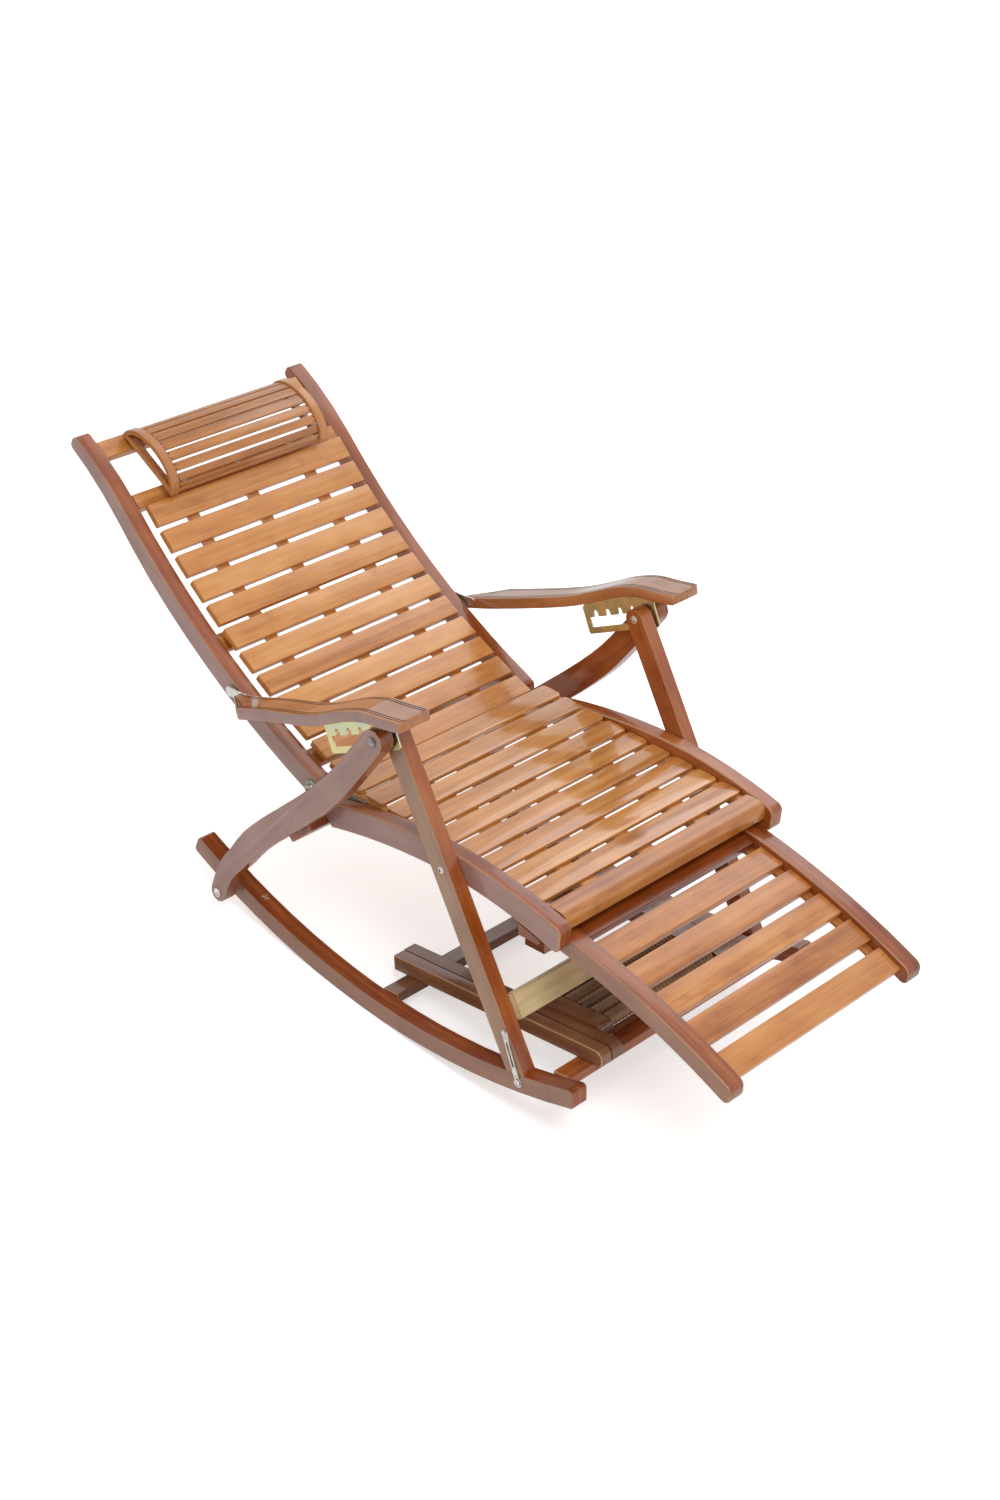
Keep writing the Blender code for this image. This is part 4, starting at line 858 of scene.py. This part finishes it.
# painted shade in the routed grooves: nearly black and rough
shade_groove_walls = bamboo("dark_painted_shade_groove", "2E1408", "4A2412", "5E3018", rough=0.5, coat=0.2)
columns = 2 * (3 + len(top_edge))
grooves = [first + k for first in (6, 10, 14, 18) for k in range(3)]
for sign, side in ((1, "left"), (-1, "right")):
    arm = lofted("armrest_%s_shown" % side, [runs[sign]], arm_bamboo, 50)
    arm.data.materials.append(shade_groove_walls)
    arm.data.materials.append(sheen_outer_bamboo)
    for face in arm.data.polygons:
        # the groove faces take the painted shade
        if face.index < last * columns and face.index % columns in grooves:
            face.material_index = 1
        # faces turned outwards: the painted sheen
        elif face.normal.x * sign > 0.75:
            face.material_index = 2
    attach(arm, "armrest_" + side)
    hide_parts("armrest_" + side)

# Metal: sheet steel brackets with five notches, yellow passivated and screwed to the armrests'
# undersides, grey hinge plates, and bright zinc plated bolts, studs and hooks.


def plated(name, one, two, rough, size):
    """Zinc plate on steel: a thin passivation film that shifts in hue in patches."""
    mat, t, out = new_finish(name)
    where = node(t, "ShaderNodeTexCoord").outputs["Object"]
    patch = node(t, "ShaderNodeTexNoise", {"Vector": where, "Scale": size, "Detail": 3.0}).outputs["Fac"]
    patch = node(t, "ShaderNodeMapRange", {"Value": patch, "From Min": 0.35, "From Max": 0.65}).outputs[0]
    colour = node(t, "ShaderNodeValToRGB", {0: patch}, [(0.0, one), (1.0, two)])
    sheen = node(t, "ShaderNodeMapRange", {"Value": patch, "To Min": rough - 0.06, "To Max": rough + 0.06})
    t.links.new(colour.outputs[0], out.inputs["Base Color"])
    t.links.new(sheen.outputs[0], out.inputs["Roughness"])
    out.inputs["Metallic"].default_value = 1.0
    return mat


# chromated sheet steel: pale yellow that drifts into green
yellow_zinc = plated("yellow_zinc_plate", "BFD0B8", "E6DA9A", 0.30, 38.0)
# dulled zinc on the hinge plates: mid grey, cloudy
dark_zinc = plated("grey_zinc_hinge_plate", "6A6660", "AAA69E", 0.30, 70.0)
# new zinc on bolts and hooks: nearly white, with small patches
bright_zinc = plated("bright_zinc_plate", "C6C3BA", "E9E6DF", 0.24, 90.0)
for side in ("left", "right"):
    shaped("armrest_bracket_" + side, yellow_zinc)
    for n in ("recline_hinge_", "cross_pin_"):
        shaped(n + side, dark_zinc, sharp=40)
    for n in ("rocker_bolt_", "lock_stud_", "lock_hook_"):
        shaped(n + side, bright_zinc, sharp=40)

# Armrest straps: a strip of bright steel on the inner side of each armrest's rear end, rounded off
# round the bolt on which the armrest turns in the back rail.
strap_path = bent([(0.322, 0.0215), (0.346, 0.0185), (0.372, 0.0180)])
strap_x, strap_thick, strap_first, strap_end = 0.2440, 0.003, 0.004, 0.0084
strap_half, strap_swell, strap_corner = 0.0062, 0.0022, 0.0005
arm_bolt = [(0.2130, 0.003), (0.2393, 0.003), (0.2393, 0.007), (0.2425, 0.007), (0.2425, 0.006),
            (0.2460, 0.006), (0.2477, 0.0042), (0.2483, 0.0010)]
for sign, side in ((1, "left"), (-1, "right")):
    strap = []
    for k, (y, z) in enumerate(strap_path):
        d = heading(strap_path, k)
        w = strap_half + strap_swell * k / (len(strap_path) - 1) if k else strap_first
        strap.append(((sign * strap_x, y, z), (0, -d.z, d.y), (sign, 0, 0), 0.01 * k,
                      eased(2 * w, strap_thick, strap_corner)))
    for k in range(1, 7):
        a = pi / 2 * k / 6
        out, w = strap_end * sin(a), max(strap_end * cos(a), 0.0007)
        strap.append(((sign * strap_x, y + d.y * out, z + d.z * out), (0, -d.z, d.y), (sign, 0, 0), 0.3,
                      eased(2 * w, strap_thick, strap_corner)))
    bolt = turned(sign, 0.372, 0.018, arm_bolt)
    arm_strap = lofted("arm_strap_" + side, [strap, bolt], bright_zinc)
    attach(arm_strap, "armrest_" + side)
    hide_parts("armrest_hinge_" + side)

# Small fasteners, all of plated steel: washer and rivet head where the legs cross, the bolts that
# hold the seat to the front legs, each with a dark disc of painted shade in its socket, the flange of each
# recline hinge on the seat rail, and a cross-shaped insert let into each rocker.
seat_bolt = (-0.1226, -0.0824)
leg_washer = [(0.2756, 0.0098), (0.2768, 0.0098), (0.2774, 0.0086), (0.2782, 0.0060)]
rivet_head = [(0.2506, 0.0070), (0.2496, 0.0070), (0.2492, 0.0062), (0.2490, 0.0045), (0.2476, 0.0042),
              (0.2470, 0.0030)]
bolt_head = [(0.2750, 0.0058), (0.2764, 0.0058), (0.2769, 0.0050), (0.2770, 0.0034), (0.2780, 0.0031),
             (0.2783, 0.0016)]
# a dark disc in each bolt's socket: painted shade
bolt_socket = [(0.2780, 0.0018), (0.27845, 0.0018), (0.27850, 0.0010)]
bits, sockets, flanges, inserts = [], [], [], []
for sign in (-1, 1):
    bits.append(turned(sign, *crossing, leg_washer))
    bits.append(turned(sign, *crossing, rivet_head))
    bits.append(turned(sign, *seat_bolt, bolt_head))
    sockets.append(turned(sign, *seat_bolt, bolt_socket))
seat_bolts = lofted("seat_bolts", bits, bright_zinc)
painted_shade_sockets = lofted("painted_shade_sockets", sockets, blued_steel_and_socket_shade)
# thin zinc plate: a cool, slightly green grey
flange_steel = plated("grey_zinc_flange", "8E9A94", "B4BDB6", 0.25, 60.0)
for sign in (-1, 1):
    run = []
    for k in range(9):
        y = 0.088 + 0.062 * k / 8
        top = seat_top(y) - 0.0135
        low = seat_rear_arc[1] + sqrt(seat_rear_r ** 2 - (y - seat_rear_arc[0]) ** 2) + 0.0006
        run.append(((sign * 0.2236, y, (top + low) / 2), (0, 0, 1), (sign, 0, 0), y,
                    eased(max(top - low, 0.0022), 0.0018, 0.0004)))
    flanges.append(run)
hinge_flanges = lofted("hinge_flanges", flanges, flange_steel)
for piece in (seat_bolts, painted_shade_sockets, hinge_flanges):
    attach(piece, "seat_frame")
insert_y, insert_x, insert_half = 0.294, 0.258, 0.0065
insert_r = rocker_r - rocker_half
a = asin((insert_y - rocker_arc[0]) / insert_r)
insert_z = rocker_arc[1] - cos(a) * insert_r + 0.0002
for sign in (-1, 1):
    for turn in (radians(35), radians(125)):
        u, v = Vector((cos(turn), sin(turn) * cos(a), sin(turn) * sin(a))), Vector(off_slope(a))
        inserts.append([(Vector((sign * insert_x, insert_y, insert_z)) + u * t, v.cross(u), v, t,
                         eased(0.0030, 0.0011, 0.0003)) for t in (-insert_half, 0.0, insert_half)])
rocker_inserts = lofted("rocker_inserts", inserts, bright_zinc)
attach(rocker_inserts, "base")

# Room: a white floor that keeps a trace of the chair's shadow, a white surround that is brighter for
# the eye and for gloss than it is as a light, and two soft lamps.
floor_half, floor_z = 24, -0.0005
floor_corners = [(-floor_half, -floor_half, floor_z), (floor_half, -floor_half, floor_z),
                 (floor_half, floor_half, floor_z), (-floor_half, floor_half, floor_z)]
floor_mesh = bpy.data.meshes.new("floor")
floor_mesh.from_pydata(floor_corners, [], [(0, 1, 2, 3)])
floor = linked("floor", floor_mesh)
floor_glow, world_light = 0.5, 0.66
white = (1, 1, 1, 1)
white_floor, t, paint = new_finish("pale_floor")
paint.inputs["Base Color"].default_value = white
paint.inputs["Roughness"].default_value = 0.9
paint.inputs["Specular IOR Level"].default_value = 0.2
paint.inputs["Emission Color"].default_value = white
by_eye = node(t, "ShaderNodeLightPath").outputs["Is Camera Ray"]
glow = node(t, "ShaderNodeMapRange", {"Value": by_eye, "To Min": 0.0, "To Max": floor_glow})
t.links.new(glow.outputs[0], paint.inputs["Emission Strength"])
floor_mesh.materials.append(white_floor)
world = bpy.data.worlds.new("studio")
bpy.context.scene.world = world
world.use_nodes = True
t = world.node_tree
t.nodes["Background"].inputs["Color"].default_value = white
seen = node(t, "ShaderNodeLightPath").outputs
eye_or_gloss = node(t, "ShaderNodeMath", {0: seen["Is Camera Ray"], 1: seen["Is Glossy Ray"]},
                    operation='MAXIMUM')
strength = node(t, "ShaderNodeMapRange", {"Value": eye_or_gloss, "To Min": world_light, "To Max": 1.0})
t.links.new(strength.outputs[0], t.nodes["Background"].inputs["Strength"])


def lamp(name, at, aim, size, power):
    """A round soft lamp that looks at a point."""
    data = bpy.data.lights.new(name, 'AREA')
    data.shape, data.size, data.energy = 'DISK', size, power
    ob = linked(name, data)
    ob.location = at
    ob.rotation_euler = (Vector(aim) - Vector(at)).to_track_quat('-Z', 'Y').to_euler()


lamp("key", (-1.2, -1.6, 3.2), (0, 0, 0.3), 1.6, 46)
lamp("fill", (2.4, 0.8, 2.6), (0, 0, 0.3), 2.0, 14)
bpy.context.scene.view_settings.view_transform = 'Standard'
